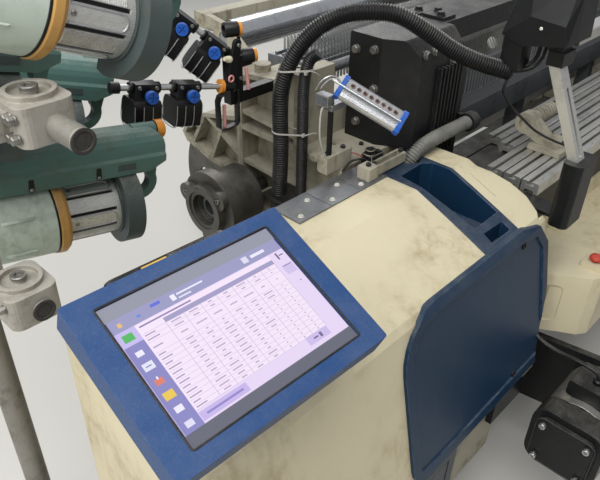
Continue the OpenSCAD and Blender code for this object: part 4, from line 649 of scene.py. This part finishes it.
for row, (top, low) in enumerate(zip(lines[:-1], lines[1:])):
    mid = (top + low) / 2
    boxes.append((0.118, 0.118 + rng.uniform(0.03, 0.07), mid - 0.004, mid + 0.004, "#a394b4"))
    for k, (a, b) in enumerate(zip(columns[:-1], columns[1:])):
        half = rng.uniform(0.006, 0.03) if k < 6 - row // 5 else 0.004
        boxes.append(around((a + b) / 2, mid, half, 0.0045, "#b7a7c2"))
icons = [(0.245, "#48b552", 0.026), (0.365, "#e9e6f4", 0.018), (0.458, "#dfe0ee", 0.026),
         (0.57, "#d9795c", 0.02), (0.668, "#e8c33c", 0.026), (0.765, "#e8e6f3", 0.02),
         (0.868, "#dcdaf0", 0.02)]
boxes += [around(0.054, y, half, half, colour) for y, colour, half in icons]
boxes += [(0.05, 0.058, 0.535, 0.555, "#eceaf6"), (0.04, 0.068, 0.454, 0.462, "#8482bd"),
          (0.22, 0.272, 0.118, 0.14, "#5a6ad0"), (0.14, 0.16, 0.14, 0.158, "#5f86d8"),
          (0.043, 0.062, 0.135, 0.165, "#e3b86a"), (0.325, 0.35, 0.125, 0.168, "#eceaf8"),
          (0.36, 0.51, 0.13, 0.142, "#e8e6f6"), (0.36, 0.43, 0.16, 0.171, "#e0def0"),
          (0.755, 0.79, 0.12, 0.168, "#d9d8ec"), (0.81, 0.9, 0.132, 0.155, "#e8e6f6"),
          (0.12, 0.4, 0.213, 0.224, "#8b7cab"), (0.14, 0.34, 0.868, 0.882, "#8d80c4"),
          (0.79, 0.82, 0.852, 0.862, "#5b5370"), (0.83, 0.846, 0.84, 0.874, "#6b6382"),
          (0.935, 0.945, 0.205, 0.26, "#5b5370"), (0.95, 0.978, 0.228, 0.236, "#5b5370"),
          (0.925, 0.98, 0.316, 0.323, "#8d80a8"), (0.955, 0.962, 0.46, 0.47, "#7b6d94")]
print(len(boxes), "boxes on the screen")

# %% Screen picture
def painted_grid(boxes, w, h, z):
    """Cells between all box edges; a cell takes the colour of the last box that covers its middle."""
    xs = np.unique(np.round([x for box in boxes for x in box[:2]], 5))
    ys = np.unique(np.round([y for box in boxes for y in box[2:4]], 5))[::-1]
    X, Y = np.meshgrid((xs - 0.5) * w, (0.5 - ys) * h, indexing="ij")
    mx, my = (xs[1:] + xs[:-1]) / 2, (ys[1:] + ys[:-1]) / 2
    colour = np.zeros((len(mx), len(my), 4), np.float32)
    for x0, x1, y0, y1, code in boxes:
        inside = ((mx > x0) & (mx < x1))[:, None] & ((my > y0) & (my < y1))[None, :]
        colour[inside] = rgb(code)
    return grid(np.stack([X, Y, np.full_like(X, z)], -1)), colour.reshape(-1, 4)


def glowing(name, attribute, strength):
    """Picture colour from a mesh attribute, dim as paint and bright as light."""
    tree, shader = new_finish(name)
    shown = add(tree, "Attribute", attribute_name=attribute).outputs["Color"]
    pixels = use(tree, grain, dict.fromkeys("XYZ", 1400.0))["Value"]
    light = blend_colour(tree, times(tree, pixels, 0.12), shown, rgb("#b7a8d6"))
    fill(tree, shader, {"Base Color": blend_colour(tree, 0.82, shown, (0.01, 0.01, 0.012, 1)),
                        "Emission Color": light, "Emission Strength": strength, "Roughness": 0.22})


glowing("lit_picture", "picture", 0.78)
glass, cell_colours = painted_grid(boxes, GLASS_W, GLASS_H, -2.4)
picture = piece("screen_picture", [put(glass, TERMINAL)], "lit_picture", "terminal")
layer = picture.data.color_attributes.new("picture", "FLOAT_COLOR", "CORNER")
layer.data.foreach_set("color", np.repeat(cell_colours, 4, axis=0).ravel())
print("screen cells", len(cell_colours))

# %% [markdown]
# ## Fastenings
# Screws and bolts are turned shapes. They could be cut out of cylinders with booleans, which
# is slow and leaves ragged faces. Here a hexagon is a radius that changes with the angle, so
# one lathe makes washers, hexagon heads and the recess of a socket screw. Each kind is made
# once and copied to all its spots: x, y, z and the way the head looks. The right side of the
# loom mirrors the left one.

# %% Lathe
def about_x(x, r, a):
    """Points at distance r and angle a about X: (x, r cos a, r sin a)."""
    return np.stack(np.broadcast_arrays(x, r * np.cos(a), r * np.sin(a)), -1)


def turned(profile, sides=32, close=False):
    """Points (x, r) of a profile, turned about X; r may vary with the angle."""
    a = np.linspace(0, 2 * np.pi, sides, endpoint=False)
    x = np.array([[p[0]] for p in profile], float)
    r = np.stack([np.broadcast_to(p[1], a.shape) for p in profile])
    return grid(about_x(x, r, a), close, True)


print("a washer has", len(turned([(0, 12), (2, 12)])[1]), "faces")

# %% Kinds of fastening
HEAD_SIDES = 24


def hexagon(across):
    """Radius of a hexagon over the angle: (across / 2) / cos(angle to the nearest flat)."""
    a = np.linspace(0, 2 * np.pi, HEAD_SIDES, endpoint=False)
    return across / 2 / np.cos((a + np.pi / 6) % (np.pi / 3) - np.pi / 6)


def hex_bolt(across, height):
    """Hexagon head with a drawn-in top, on its washer."""
    edge, flat = across * 0.14, hexagon(across)
    washer = turned([(0, across * 0.64), (edge, across * 0.64), (edge + 0.3, across * 0.6)], HEAD_SIDES)
    head = turned([(edge, flat), (edge + height * 0.85, flat), (edge + height, flat * 0.84)], HEAD_SIDES)
    return [washer, head]


def socket_screw(width, height):
    """Round head with a hexagonal recess."""
    r, deep = width / 2, hexagon(width * 0.5)
    return [turned([(0, r), (height * 0.85, r), (height, r * 0.9), (height, deep),
                    (height * 0.4, deep * 0.96)], HEAD_SIDES)]


def pan_screw(width, height):
    """Low dome whose recess swells four times round, as a cross does."""
    a = np.linspace(0, 2 * np.pi, HEAD_SIDES, endpoint=False)
    cross = width * (0.08 + 0.16 * np.cos(2 * a) ** 6)
    dome = [(height * np.sin(t), width / 2 * np.cos(t)) for t in np.radians([0, 25, 50])]
    return [turned(dome + [(height * 0.76, cross), (height * 0.3, cross * 0.9)], HEAD_SIDES)]


print("faces of a bolt, a socket screw and a pan head screw:",
      [sum(len(F) for _, F in kind(12, 5)) for kind in (hex_bolt, socket_screw, pan_screw)])

# %% Spots on the loom
UP, LEFT, FRONT = (0, 0, 1), (-1, 0, 0), (0, -1, 0)


def at(x, y, z, way=UP):
    """Place where +X turns to look a given way."""
    return shift(x, y, z) @ facing(way)


def fasten(name, shapes, spots, look="bolt_steel", body="frame", bases=(np.eye(4),)):
    """One piece from copies of a fastening at the spots of every base."""
    places = [base @ at(*spot) for base in bases for spot in spots]
    return piece(name, [put(shape, *places) for shape in shapes], look, body)


def both_sides(spots):
    """Spots on the left and their mirror images: x becomes pitch - x."""
    return spots + [(PITCH - x, y, z, (-way[0], way[1], way[2])) for x, y, z, way in spots]


def on_circle(x, radius, degrees):
    """Spots on a circle about X, that look left."""
    return [(*about_x(x, radius, a), LEFT) for a in np.radians(degrees)]


print("the mirror image of a left spot:", both_sides([(20, 455, 1255, LEFT)])[1])

# %% Bolts and screws in their places
casing_spots = [(20, y, z, LEFT) for y, z in ((455, 1255), (396, 1266), (388, 1165), (440, 1060))]
casing_spots += [(x, y, z, FRONT) for x, y, z in ((215, 285, 1225), (90, 288, 1262), (130, 288, 1262))]
fasten("casing_bolts", hex_bolt(19, 8), both_sides(casing_spots))
beam_spots = [(285, 381, 1306, UP), (316, 412, 1306, UP), (300, 465, 1302, UP)]
fasten("beam_bolts", hex_bolt(20, 9), both_sides(beam_spots), "black_cast")
plate_ends = ((-405, -299), (-297, -192), (-190, -88))
plate_spots = [(x, y, 1004.3) for a, b in plate_ends for x, y in ((a + 22, 263), (b - 22, 302))]
fasten("plate_screws", pan_screw(15, 4.4), plate_spots, "white_plastic")
bracket_spots = [(-131, 273, 1038), (-190, 361, 1056), (-128, 361, 1056), (-106, 274, 1032), (4, 274, 1032),
                 (-62, 300, 1042), (-62, 318, 1042), (-110, 420, 1010), (-4, 398, 1010)]
fasten("bracket_screws", socket_screw(13, 7), bracket_spots, "black_cast")
fasten("clamp_screws", socket_screw(26, 7), [(-935, 262, 1450), (-1002, 300, 1142)])
side_spots = [(-978, y, z, LEFT) for y in (228, 240) for z in (1400, 1428)]
side_spots += [(-1045, y, 1120, LEFT) for y in (270, 330)]
fasten("clamp_bolts", hex_bolt(12, 9), side_spots)
foot_spots = [(-270, 0, 12), (270, 0, 12), (0, -270, 12), (0, 270, 12)]
fasten("stand_bolts", hex_bolt(24, 12), foot_spots, bases=[shift(-1030, 447, 0)])
temple_spots = [(505, 42, 964.3, UP), (535, 100, 964.3, UP)]
fasten("temple_bolts", hex_bolt(15, 8), both_sides(temple_spots), "black_cast")

# %% Coupling and panel screws
def oblong(x0, x1, r0, r1):
    """Profile (x, r) of a square-edged ring."""
    return [(x0, r0), (x0, r1), (x1, r1), (x1, r0)]


lips = [(-309, 45), (-306, 47.6), (-291, 47.6), (-291, 33), (-303, 33), (-307, 35.5), (-305, 38),
        (-302, 41), (-306, 42)]
bush = oblong(-300, -281, 24, 31.6)
piece("coupling_seal", [put(turned(lips, 48, close=True), COUPLING)], "rubber_roller", "rear_coupling")
piece("coupling_bush", [put(turned(bush, 48, close=True), COUPLING)], "plate_steel", "rear_coupling")
fasten("coupling_screws", socket_screw(17, 15), on_circle(-312, 84, [20, 140, 260]),
       body="rear_coupling", bases=[COUPLING])
fasten("hood_screw", pan_screw(8, 3), [(140, 31, 1373, LEFT)], "white_plastic")
slope = (0, -0.977, 0.216)
bezel = turned([(-0.5, 5), (-0.5, 9.5), (2.5, 9.5), (3.6, 7.5), (3.6, 5)], 28, close=True)
fasten("panel_bezels", [bezel], [(70, -80.2, 872.8, slope), (16, -158, 520.8, slope)], "black_plastic")

# %% [markdown]
# ## Terminal details
# A dark gasket runs round the glass. The grip behind the case has a rubber insert and a yellow
# strip, and the back has its screws. The gasket could be a copy of the glass made a little
# larger, but it would be flat. A small rounded profile swept round a closed path gives it a
# lip that catches the light. The insert and the strip are plates whose edges are drawn in,
# because an edge without a chamfer looks cut from paper.

# %% Plates and blocks
def round_rect(w, h, r, n=4):
    """Outline of a w by h rectangle with quarter circles of radius r at its corners."""
    a = np.radians(np.linspace(0, 90, n + 1))
    x, y = w / 2 - r, h / 2 - r
    quarters = [(x, y, a), (-x, y, a + np.pi / 2), (-x, -y, a + np.pi), (x, -y, a + 1.5 * np.pi)]
    return np.concatenate([np.stack([cx + r * np.cos(t), cy + r * np.sin(t)], -1) for cx, cy, t in quarters])


def plate(outline, z0, z1, edge=1.0):
    """Outline lifted from z0 to z1, drawn in by edge at both faces, so that its edges are chamfered."""
    p = np.array(outline, float)
    d = np.roll(p, -1, 0) - p
    n = np.stack([-d[:, 1], d[:, 0]], -1) / np.linalg.norm(d, axis=1, keepdims=True)
    before = np.roll(n, 1, 0)
    inner = p + edge * (n + before) / (1 + (n * before).sum(1, keepdims=True))
    rings = [(inner, z0), (p, z0 + edge), (p, z1 - edge), (inner, z1)]
    return grid(np.stack([np.column_stack([q, np.full(len(q), z)]) for q, z in rings]), False, True)


def block(lo, hi, edge=1.0):
    """Chamfered block from its low to its high corner."""
    lo, hi = np.array(lo, float), np.array(hi, float)
    w, h, _ = hi - lo
    outline = round_rect(w, h, min(edge * 1.5, w / 3, h / 3), 2) + (lo[:2] + hi[:2]) / 2
    return plate(outline, lo[2], hi[2], min(edge, (hi[2] - lo[2]) / 3))


print("a chamfered block has", len(block((0, 0, 0), (9, 9, 9))[1]), "faces")

# %% Terminal details
def on_terminal(name, shapes, look):
    """Piece from shapes drawn on the terminal, whose glass faces +Z."""
    return piece(name, [put(shape, TERMINAL) for shape in shapes], look, "terminal")


frame_path = np.column_stack([round_rect(GLASS_W + 4, GLASS_H + 4, 4, 5), np.full(24, -0.2)])
gasket = sweep(frame_path, round_rect(3.2, 2.4, 0.8, 2), closed=True, up=UP)
on_terminal("glass_gasket", [gasket], "black_plastic")
insert = plate(round_rect(104, 9, 4, 4) + [43, 148], -19.4, -15.5, 1.2)
ribs = [block((x, 144.5, -15.8), (x + 3, 151.5, -14.4), 0.5) for x in np.arange(-2, 88, 6.0)]
on_terminal("grip_insert", [insert, *ribs], "rubber_roller")
strip = plate(round_rect(44, 8, 1.5, 2) + [-32, 148], -19.2, -18.2, 0.3)
on_terminal("grip_strip", [strip], "yellow_mark")
back_spots = [(x, y, -58, (0, 0, -1)) for x in (-124, 124) for y in (-82, 82)]
fasten("terminal_screws", pan_screw(8, 2.4), back_spots, body="terminal", bases=[TERMINAL])

# %% [markdown]
# ## Yarn feeders
# The four feeders are the same, so each detail is made once in the feeder's own frame, whose X
# is the axis of the drum, and copied four times. Between its slots the drum has smooth fingers
# with a bright wire loop and knurled ones with fine ribs. The ribs could be a bump in the
# material, but their edges catch the light, so each is a thin block bent round the axis.

# %% Fingers of the drum
def bent_block(profile, middle, half, steps=6):
    """Profile (x, r) carried round X from middle - half to middle + half, in degrees."""
    a = np.radians(middle + half * np.linspace(-1, 1, steps))[:, None]
    x, r = np.array(profile, float).T
    return grid(about_x(x, r, a), False, True)


def wire_loop(middle, half=12.4, radius=61.4, x0=22.0, x1=102.0):
    """Wire that runs along one edge of a finger, round its end and back."""
    t = np.linspace(-np.pi / 2, np.pi / 2, 9)
    side = np.linspace(x0, x1, 5)
    x = np.concatenate([side[:-1], x1 + 11 * np.cos(t), side[-2::-1]])
    a = np.radians(middle + half * np.concatenate([-np.ones(4), np.sin(t), np.ones(4)]))
    return sweep(about_x(x, radius, a), circle(1.9, 8), up=about_x(0.01, 1.0, np.radians(middle)))


def on_feeders(name, shapes, look):
    """Piece from shapes drawn on one feeder, copied to all four."""
    return piece(name, [put(shape, *FEEDERS) for shape in shapes], look)


slots = 90 + 36 * np.arange(10)
smooth, knurled = slots[::2] + 18, slots[1::2] + 18
grooves = [bent_block(oblong(12.6, 113, 50, 57.5), a, 3.1, 3) for a in slots]
on_feeders("drum_slots", grooves, "black_plastic")
knurls = [bent_block(oblong(x, x + 1.3, 60.8, 61.7), a, 13.4, 5) for a in knurled
          for x in np.arange(26, 108, 2.9)]
on_feeders("drum_knurls", knurls, "drum_metal")
on_feeders("finger_wires", [wire_loop(a) for a in smooth], "wire_steel")
finger_spots = [(28, 61 * y, 61 * z, (0, y, z)) for _, y, z, _ in on_circle(0, 1, smooth)]
fasten("drum_screws", pan_screw(9, 2.2), finger_spots, bases=FEEDERS)

# %% Bell, nose and spine
def ring(radius, tube, x=0.0, sides=40, around=10):
    """Round ring about X: a circle of radius tube, turned at a radius."""
    b = np.linspace(0, 2 * np.pi, around, endpoint=False)
    return turned([(x + tube * np.cos(t), radius + tube * np.sin(t)) for t in b], sides, close=True)


band = turned(oblong(-15.8, -12.7, 73, 80.5), 64, close=True)
on_feeders("bell_bands", [band], "black_plastic")
fin = [(-122, 77), (-112, 84), (-66, 84), (-56, 77)]
on_feeders("bell_fins", [bent_block(fin, a, 2.2, 4) for a in (30, 150, 204, 336)], "pale_green_shell")
nose = [ring(65.6, 1.5, 141.6, 56, 8), ring(43.6, 1.4, 141.4, 48, 8), ring(54.5, 0.9, 141.2, 48, 6)]
on_feeders("nose_wires", nose, "wire_steel")
on_feeders("nose_eyelets", [ring(11.6, 2.8, 141.2, 32, 12)], "white_plastic")
linings = [bent_block(oblong(134, 166, 60.2, 64.4), 90 + s * 120, 17, 8) for s in (-1, 1)]
on_feeders("guard_linings", linings, "rubber_roller")
cap = turned([(231, 18.3), (231, 20.4), (247, 20.4), (250, 17.5), (250, 11), (246, 10)], 32)
seal = turned(oblong(228.5, 231, 17.5, 19.2), 32, close=True)
on_feeders("nose_caps", [put(cap, shift(0, 0, 160))], "orange_ceramic")
on_feeders("nose_seals", [put(seal, shift(0, 0, 160))], "black_plastic")
flanks = [(s, shift(0, s * 47.6, 0) @ turn("x", -90 * s)) for s in (-1, 1)]
windows = [put(plate(round_rect(11, 33, 5.2, 5) + [x, -101 * s], -1.2, 0.9, 0.5), M) for s, M in flanks
           for x in (-52, 84)]
lids = [put(plate(round_rect(40, 15, 2, 3) + [146, -104 * s], -1.2, 0.8, 0.4), M) for s, M in flanks]
on_feeders("spine_windows", windows, "black_plastic")
on_feeders("spine_lids", lids, "dark_shell")
window_spots = [(x, s * 48.4, 90, (0, s, 0)) for x in (-52, 84) for s in (-1, 1)]
fasten("spine_screws", pan_screw(8, 2.4), window_spots, bases=FEEDERS)
top_slots = [block((x, -16, 175.4), (x + 4, 16, 176.6), 0.5) for x in np.arange(-120, -60, 9.0)]
on_feeders("spine_slots", top_slots, "black_plastic")
for k, base in enumerate(FEEDERS, 1):
    fasten("ring_outlet_%d" % k, [ring(4.2, 1.6, 0, 20, 8)], [(2, 81.3, 0, (0, 1, 0))], "white_plastic",
           "feeder_ring_%d" % k, [base])

# %% [markdown]
# ## Stub tubes, brakes and eyelets
# The rods under the brakes are bright steel between black collars, so a thin bright sleeve lies
# over each one. Bent steel edges stand along the brake boxes. Holders and stems are black. A
# bent edge could be a curve object with a bevel. Swept as a profile along a smooth path it is
# a mesh at once, and it takes the place of its unit like every other shape.

# %% Sleeves and brakes
def rod(start, end, radius, sides=16):
    """Round rod with chamfered ends from one point to another."""
    way = np.subtract(end, start)
    length, c = float(np.linalg.norm(way)), radius * 0.2
    shape = turned([(0, radius - c), (c, radius), (length - c, radius), (length, radius - c)], sides)
    return put(shape, shift(*start) @ facing(way))


piece("stub_sleeves", [rod((-927, 149.4, 1408), (-927, 329, 1408), 18.4, 28),
                       rod((-994, 249.4, 1100), (-994, 359, 1100), 18.4, 28)], "stand_steel")
mouth = turned([(0, 13.4), (0, 18.9), (2.2, 18.9), (2.8, 15), (2.2, 13.4), (0.6, 13.0)], 32)
fasten("stub_mouths", [mouth], [(-927, 149.6, 1408, FRONT), (-994, 249.6, 1100, FRONT)], "rubber_roller")
bare = ((12.2, 281.8, RODS[0]), (-0.4, 173.8, RODS[1]), (188.2, 214.4, RODS[1]))
piece("brake_rods", [put(rod((x0, 0, 0), (x1, 0, 0), 7.25, 28), M) for x0, x1, M in bare], "wire_steel")
edge_line = ((-33.6, -35), (-30.6, -87), (34.6, -87), (37.8, -35))
edges = [sweep(smooth_path([(x, y, z) for y, z in edge_line], 28), round_rect(2.6, 1.6, 0.5, 1),
               up=(1, 0, 0)) for x in (-29.4, -8, 14, 35.4)]
piece("brake_edges", [put(s, *UNITS) for s in edges], "wire_steel")
collars = [turned([(x, 7.3), (x, 12.5), (x + 1, 13.2), (x + 7, 13.2), (x + 8, 12.5), (x + 8, 7.3)], 28,
                  close=True) for x in (-33, 33)]
piece("brake_collars", [put(s, *UNITS) for s in collars], "black_plastic")
fasten("brake_screws", socket_screw(8, 5), [(x, -20, 5, FRONT) for x in (-16, 25)], bases=UNITS)

# %% Eyelets and levers
HOLDERS = [shift(*p) @ turn("z", -20) for p in ((-262, 600, 1330), (-217, 597, 1257))]
holder = turned([(-34, 12), (-34, 16.4), (-31, 18.4), (0.5, 18.4), (0.5, 10.6), (-28, 10.6)], 36, close=True)
stems = [rod((-264, 593, 1268.4), (-264, 593, 1315), 4.5),
         block((-257.5, 592.6, 1235.6), (-221, 603.4, 1246.4), 0.8)]
piece("eyelet_holders", [put(holder, *HOLDERS), *stems], "black_plastic")
lever = put(plate(round_rect(25, 104, 12, 6), -4, 4, 1),
            shift(-289, 583.6, 1262) @ turn("y", 16) @ turn("x", 90))
strap = [(-314, 586, 1192), (-338, 586, 1184), (-344, 586, 1172), (-344, 586, 1104), (-338, 586, 1098),
         (-288, 586, 1098), (-282, 586, 1104), (-282, 586, 1188)]
fork = sweep(strap, round_rect(3, 20, 0.8, 2), up=(0, 1, 0))
piece("yarn_levers", [lever, fork], "black_plastic")
piece("ceramic_tubes", [rod((-250, 585, 1238), (-243, 584, 1178), 4.6),
                        rod((-325, 586, 1098), (-324, 586, 1160), 4.6)], "pink_ceramic")
fasten("ceramic_rings", [ring(7.2, 2.5, 0, 28, 10)], [(-304, 578.6, 1222, FRONT)], "pink_ceramic")
plug = turned([(0, 6), (1, 8.2), (9, 8.2), (10, 6.8), (19, 6.2), (22, 4.8)], 20)
fasten("brake_plug", [plug], [(-301, 582, 1268, (-0.94, -0.1, 0.3))], "cream_plug")
lever_spots = [(-277, 579.6, 1298, FRONT), (-266, 587.8, 1212, FRONT), (-292, 587.8, 1190, FRONT)]
fasten("lever_screws", socket_screw(9, 5), lever_spots)

# %% [markdown]
# ## Weft sensor and its bracket
# Blue caps close the aluminium section, a bright rod lies over its valley and every hole has a
# ceramic ring. The post and the valve of the bracket are black. The caps could be scaled
# copies of the section's mesh, but its holes would come with it, so they are plates on the
# same outline, 2 percent larger.

# %% Sensor
ALONG = np.eye(4)[[2, 0, 1, 3]]
cap_line = 1.02 * np.array([(-30, 2), (-24, -14), (4, -16), (38, -8), (40, 8), (34, 14), (4, 8), (-22, 12)])
caps = [put(plate(cap_line, x0, x1, 1.4), SENSOR @ ALONG) for x0, x1 in ((-4, 8.3), (154.5, 168))]
piece("sensor_caps", caps, "blue_plastic")
hole_places = [SENSOR @ shift(81.5 + (i - 3.5) * 16.5, 19, 7.7) @ turn("x", 11.3) @ turn("y", -90)
               for i in range(8)]
piece("sensor_eyelets", [put(ring(5.2, 1.3, 0, 24, 8), *hole_places)], "brown_ceramic")
piece("sensor_rod", [put(rod((-22, 0, 9.5), (160, 0, 9.5), 2.6), SENSOR)], "wire_steel")
cap_spots = [(x, y, z, (way, 0, 0)) for x, way in ((168, 1), (-4, -1)) for y, z in ((-22, -2), (32, 2))]
fasten("sensor_screws", pan_screw(6, 1.6), cap_spots, bases=[SENSOR])
arms = [[(-3, 0, 9.5), (-18, 3, 10), (-30, 2, 4), (-36, -8, -8), (-38, -16, -20)],
        [(-3, 8, 6), (-16, 10, 12), (-30, 4, 14), (-42, -10, 6), (-46, -20, -10), (-46, -22, -22)]]
piece("sensor_arms", [put(sweep(smooth_path(p, 24), circle(2.1, 8)), SENSOR) for p in arms], "wire_steel")
piece("sensor_post", [rod((-184, 359, 1045), (-184, 359, 1190), 7.0),
                      block((-96.5, 290.5, 1004.8), (-45.5, 325.5, 1042.5), 2),
                      rod((-84, 307, 1042), (-84, 307, 1057), 13.5),
                      rod((-60, 326, 1022), (-60, 334, 1022), 8)], "black_plastic")
piece("sensor_clamp", [block((-214.6, 329.4, 1185.4), (-159.4, 378.6, 1200.5), 1.5),
                       block((-226.6, 333.4, 1198), (-201.4, 372.6, 1224.6), 2)], "plate_steel")

# %% [markdown]
# ## Cable ties and thin cables
# A tie is a flat band round the hull of both conduits. It could be picked point by point, but
# then it would cut into the tubes or stand off them. At an angle t its point is the centre
# that reaches further in that direction, plus the radius along it, so it lies on both. The
# thin cables follow listed points: they are too short and stiff to be left to gravity.

# %% Ties
def tie(height, centre_a, radius_a, centre_b, radius_b, lean):
    """Band round two circles at one height, which rises by lean along Y."""
    t = np.linspace(0, 2 * np.pi, 60, endpoint=False)
    way = np.stack([np.cos(t), np.sin(t)], -1)
    a, b = np.array(centre_a, float), np.array(centre_b, float)
    further = (way @ a + radius_a > way @ b + radius_b)[:, None]
    hull = np.where(further, a + radius_a * way, b + radius_b * way)
    path = np.column_stack([hull, height + lean * (hull[:, 1] - a[1])])
    return sweep(path, round_rect(1.6, 4.6, 0.5, 1), closed=True, up=UP)


ties = [tie(1238, (-192, 500), 22.4, (-166, 458), 16.4, -0.12),
        tie(1076, (-202, 511), 22.4, (-167, 466), 16.4, 0.05)]
heads = [block((-183, 445, 1234), (-173, 452, 1243)), block((-183, 448, 1070), (-174, 455, 1079))]
tails = [sweep(smooth_path(p, 16), round_rect(3.6, 1.4, 0.4, 1), up=UP) for p in
         ([(-178, 446, 1239), (-176, 438, 1246), (-168, 428, 1244), (-158, 422, 1236)],
          [(-178, 449, 1074), (-172, 441, 1078), (-162, 434, 1082), (-152, 428, 1080)])]
piece("cable_ties", [*ties, *heads, *tails], "grey_tie")

# %% Thin cables
def cable(name, route, width, look, body="frame"):
    """Thin round cable along a smooth route."""
    path = smooth_path(route, 12 * len(route))
    tube = piece(name, [sweep(path, circle(width / 2, 10))], look, body)


cable("sensor_cable", [(-214, 352, 1196), (-228, 350, 1188), (-234, 348, 1160), (-232, 348, 1120),
                       (-218, 350, 1084), (-198, 352, 1050), (-178, 352, 1024), (-160, 350, 1008)],
      5, "grey_tie")
cable("valve_cable", [(-97, 306, 1030), (-112, 316, 1034), (-130, 330, 1028), (-146, 334, 1016),
                      (-156, 336, 1008)], 6, "conduit_rubber")
cable("earth_wire", [(-96, 318, 1034), (-112, 344, 1042), (-132, 376, 1038), (-158, 392, 1028),
                     (-184, 388, 1018), (-206, 374, 1013)], 3.2, "red_wire")
cable("table_cable", [(170, 98, 1240), (158, 99, 1206), (180, 95, 1177), (213, 88, 1144), (269, 78, 1101),
                      (315, 66, 1064), (369, 54, 1031), (425, 42, 1001), (470, 30, 979), (500, 18, 962),
                      (520, 8, 954)], 7, "conduit_rubber")
for k, (dx, dy, dz) in enumerate(((-8, 4, 6), (4, 8, 8), (8, -6, 0), (-4, -8, 4)), 1):
    cable("hood_cable_%d" % k, [(166 + dx, 102 + dy, 1252 + dz), (180 + dx, 88 + dy / 2, 1250 + dz),
                                (199 + dx / 2, 64 + dy, 1262 + dz), (206 + dx / 2, 48 + dy, 1290),
                                (208 + dx / 2, 44 + dy, 1332)], 8, "conduit_rubber")

# %% [markdown]
# ## Reed, healds and drop wires
# Reed, healds and drop wires are hundreds of thin steel strips. Array modifiers could repeat
# them, but the healds stand in staggered rows on two bodies. Each strip has a few faces and is
# copied by one matrix per place, so a whole set is one object on the body it moves with.

# %% Wires of the shed
reed_lo, reed_hi = (1000 * np.array(corner, float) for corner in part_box("reed"))
reed_wire = block((0, reed_lo[1] + 4.5, reed_lo[2] + 22), (1.0, reed_hi[1] - 4.5, reed_hi[2] - 12), 0.3)
wire_places = [shift(x, 0, 0) for x in np.arange(reed_lo[0] + 17, reed_hi[0] - 17, 3.8)]
piece("reed_wires", [put(reed_wire, *wire_places)], "wire_steel", "sley")
eye_ring = put(ring(5.4, 1.1, 0, 8, 4), shift(0, 0, 960) @ turn("z", 90) @ np.diag([1.0, 1.0, 1.25, 1.0]))
heald = [block((-0.5, -1.4, 798), (0.5, 1.4, 954), 0.3), block((-0.5, -1.4, 966), (0.5, 1.4, 1122), 0.3),
         eye_ring]
for parity, first in (("odd", 0), ("even", 1)):
    spots = [shift(x + 3 * k, 520 + 14 * k + 4.5, 0) for k in (first, first + 2, first + 4)
             for x in np.arange(372, 2164, 12.0)]
    piece("heald_wires_" + parity, [put(s, *spots) for s in heald], "wire_steel", "heald_" + parity)
drop = block((-0.4, -5.5, 1016), (0.4, 5.5, 1132), 0.3)
drops = [shift(x + 4 * row, 773 + 32 * row + 4.5, 0) for row in range(6) for x in np.arange(222, 2320, 16.0)]
piece("drop_wires", [put(drop, *drops)], "wire_steel")

# %% [markdown]
# ## Take-up motor and cabinets
# The motor has a turned silver body between its black end bell and bracket. The cabinets are
# plain, with a door, hinges, a lock and louvres. One side is made, and the other is its mirror
# image. A negative scale would turn the copies inside out, so their faces are turned round.

# %% Take-up motor
shell = turned([(86.5, 102), (88, 103.6), (150, 103.6), (151, 102.8), (153, 102.8), (154, 103.6),
                (276, 103.6), (277.5, 102)], 72)
piece("motor_body", [put(shell, MOTOR)], "turned_silver")
fasten("motor_screws", socket_screw(18, 8), on_circle(-0.4, 84, [45, 135, 225, 315]), "wire_steel",
       bases=[MOTOR])
lid_line = round_rect(158, 158, 22, 6)
seam = sweep(np.column_stack([np.full(len(lid_line), 5.2), lid_line]), circle(1.6, 8), closed=True,
             up=(1, 0, 0))
piece("motor_seam", [put(seam, MOTOR)], "rubber_roller")
cable("motor_cable", [(150, -335, 516), (150, -336, 532), (150, -318, 548), (150, -270, 552),
                      (151, -220, 548), (152, -176, 552), (152, -140, 566)], 12, "conduit_rubber")
gland_ring = turned([(0, 9), (0, 13), (10, 13), (14, 9)], 20)
fasten("motor_gland", [gland_ring], [(150, -335, 515)], "black_plastic")

# %% Cabinets
def mirror_x(shape):
    """Mirror image on the right side, with its faces turned round to look outwards again."""
    V, F = shape
    return np.column_stack([PITCH - V[:, 0], V[:, 1:]]), [f[::-1] for f in F]


doors = [block((-894, -159.5, 96), (-276, -155.2, 424), 1.5)]
hinges = [rod((-888, -162, z), (-888, -162, z + 46), 5) for z in (130, 344)]
louvres = [block((x, -161.4, z), (x + 110, -159.2, z + 4), 0.6) for x in (-660, -520)
           for z in np.arange(130, 226, 12.0)]
lock = turned([(0, 13), (3, 13), (5, 10), (5, 5), (1.5, 4.6)], 24)
locks = [put(lock, at(-304, -159.6, z, FRONT)) for z in (180, 360)]
for name, shapes, look in (("cabinet_doors", doors, "cabinet_paint"),
                           ("cabinet_hinges", hinges, "plate_steel"),
                           ("cabinet_louvres", louvres, "black_plastic"),
                           ("cabinet_locks", locks, "plate_steel")):
    piece(name, shapes + [mirror_x(s) for s in shapes], look)
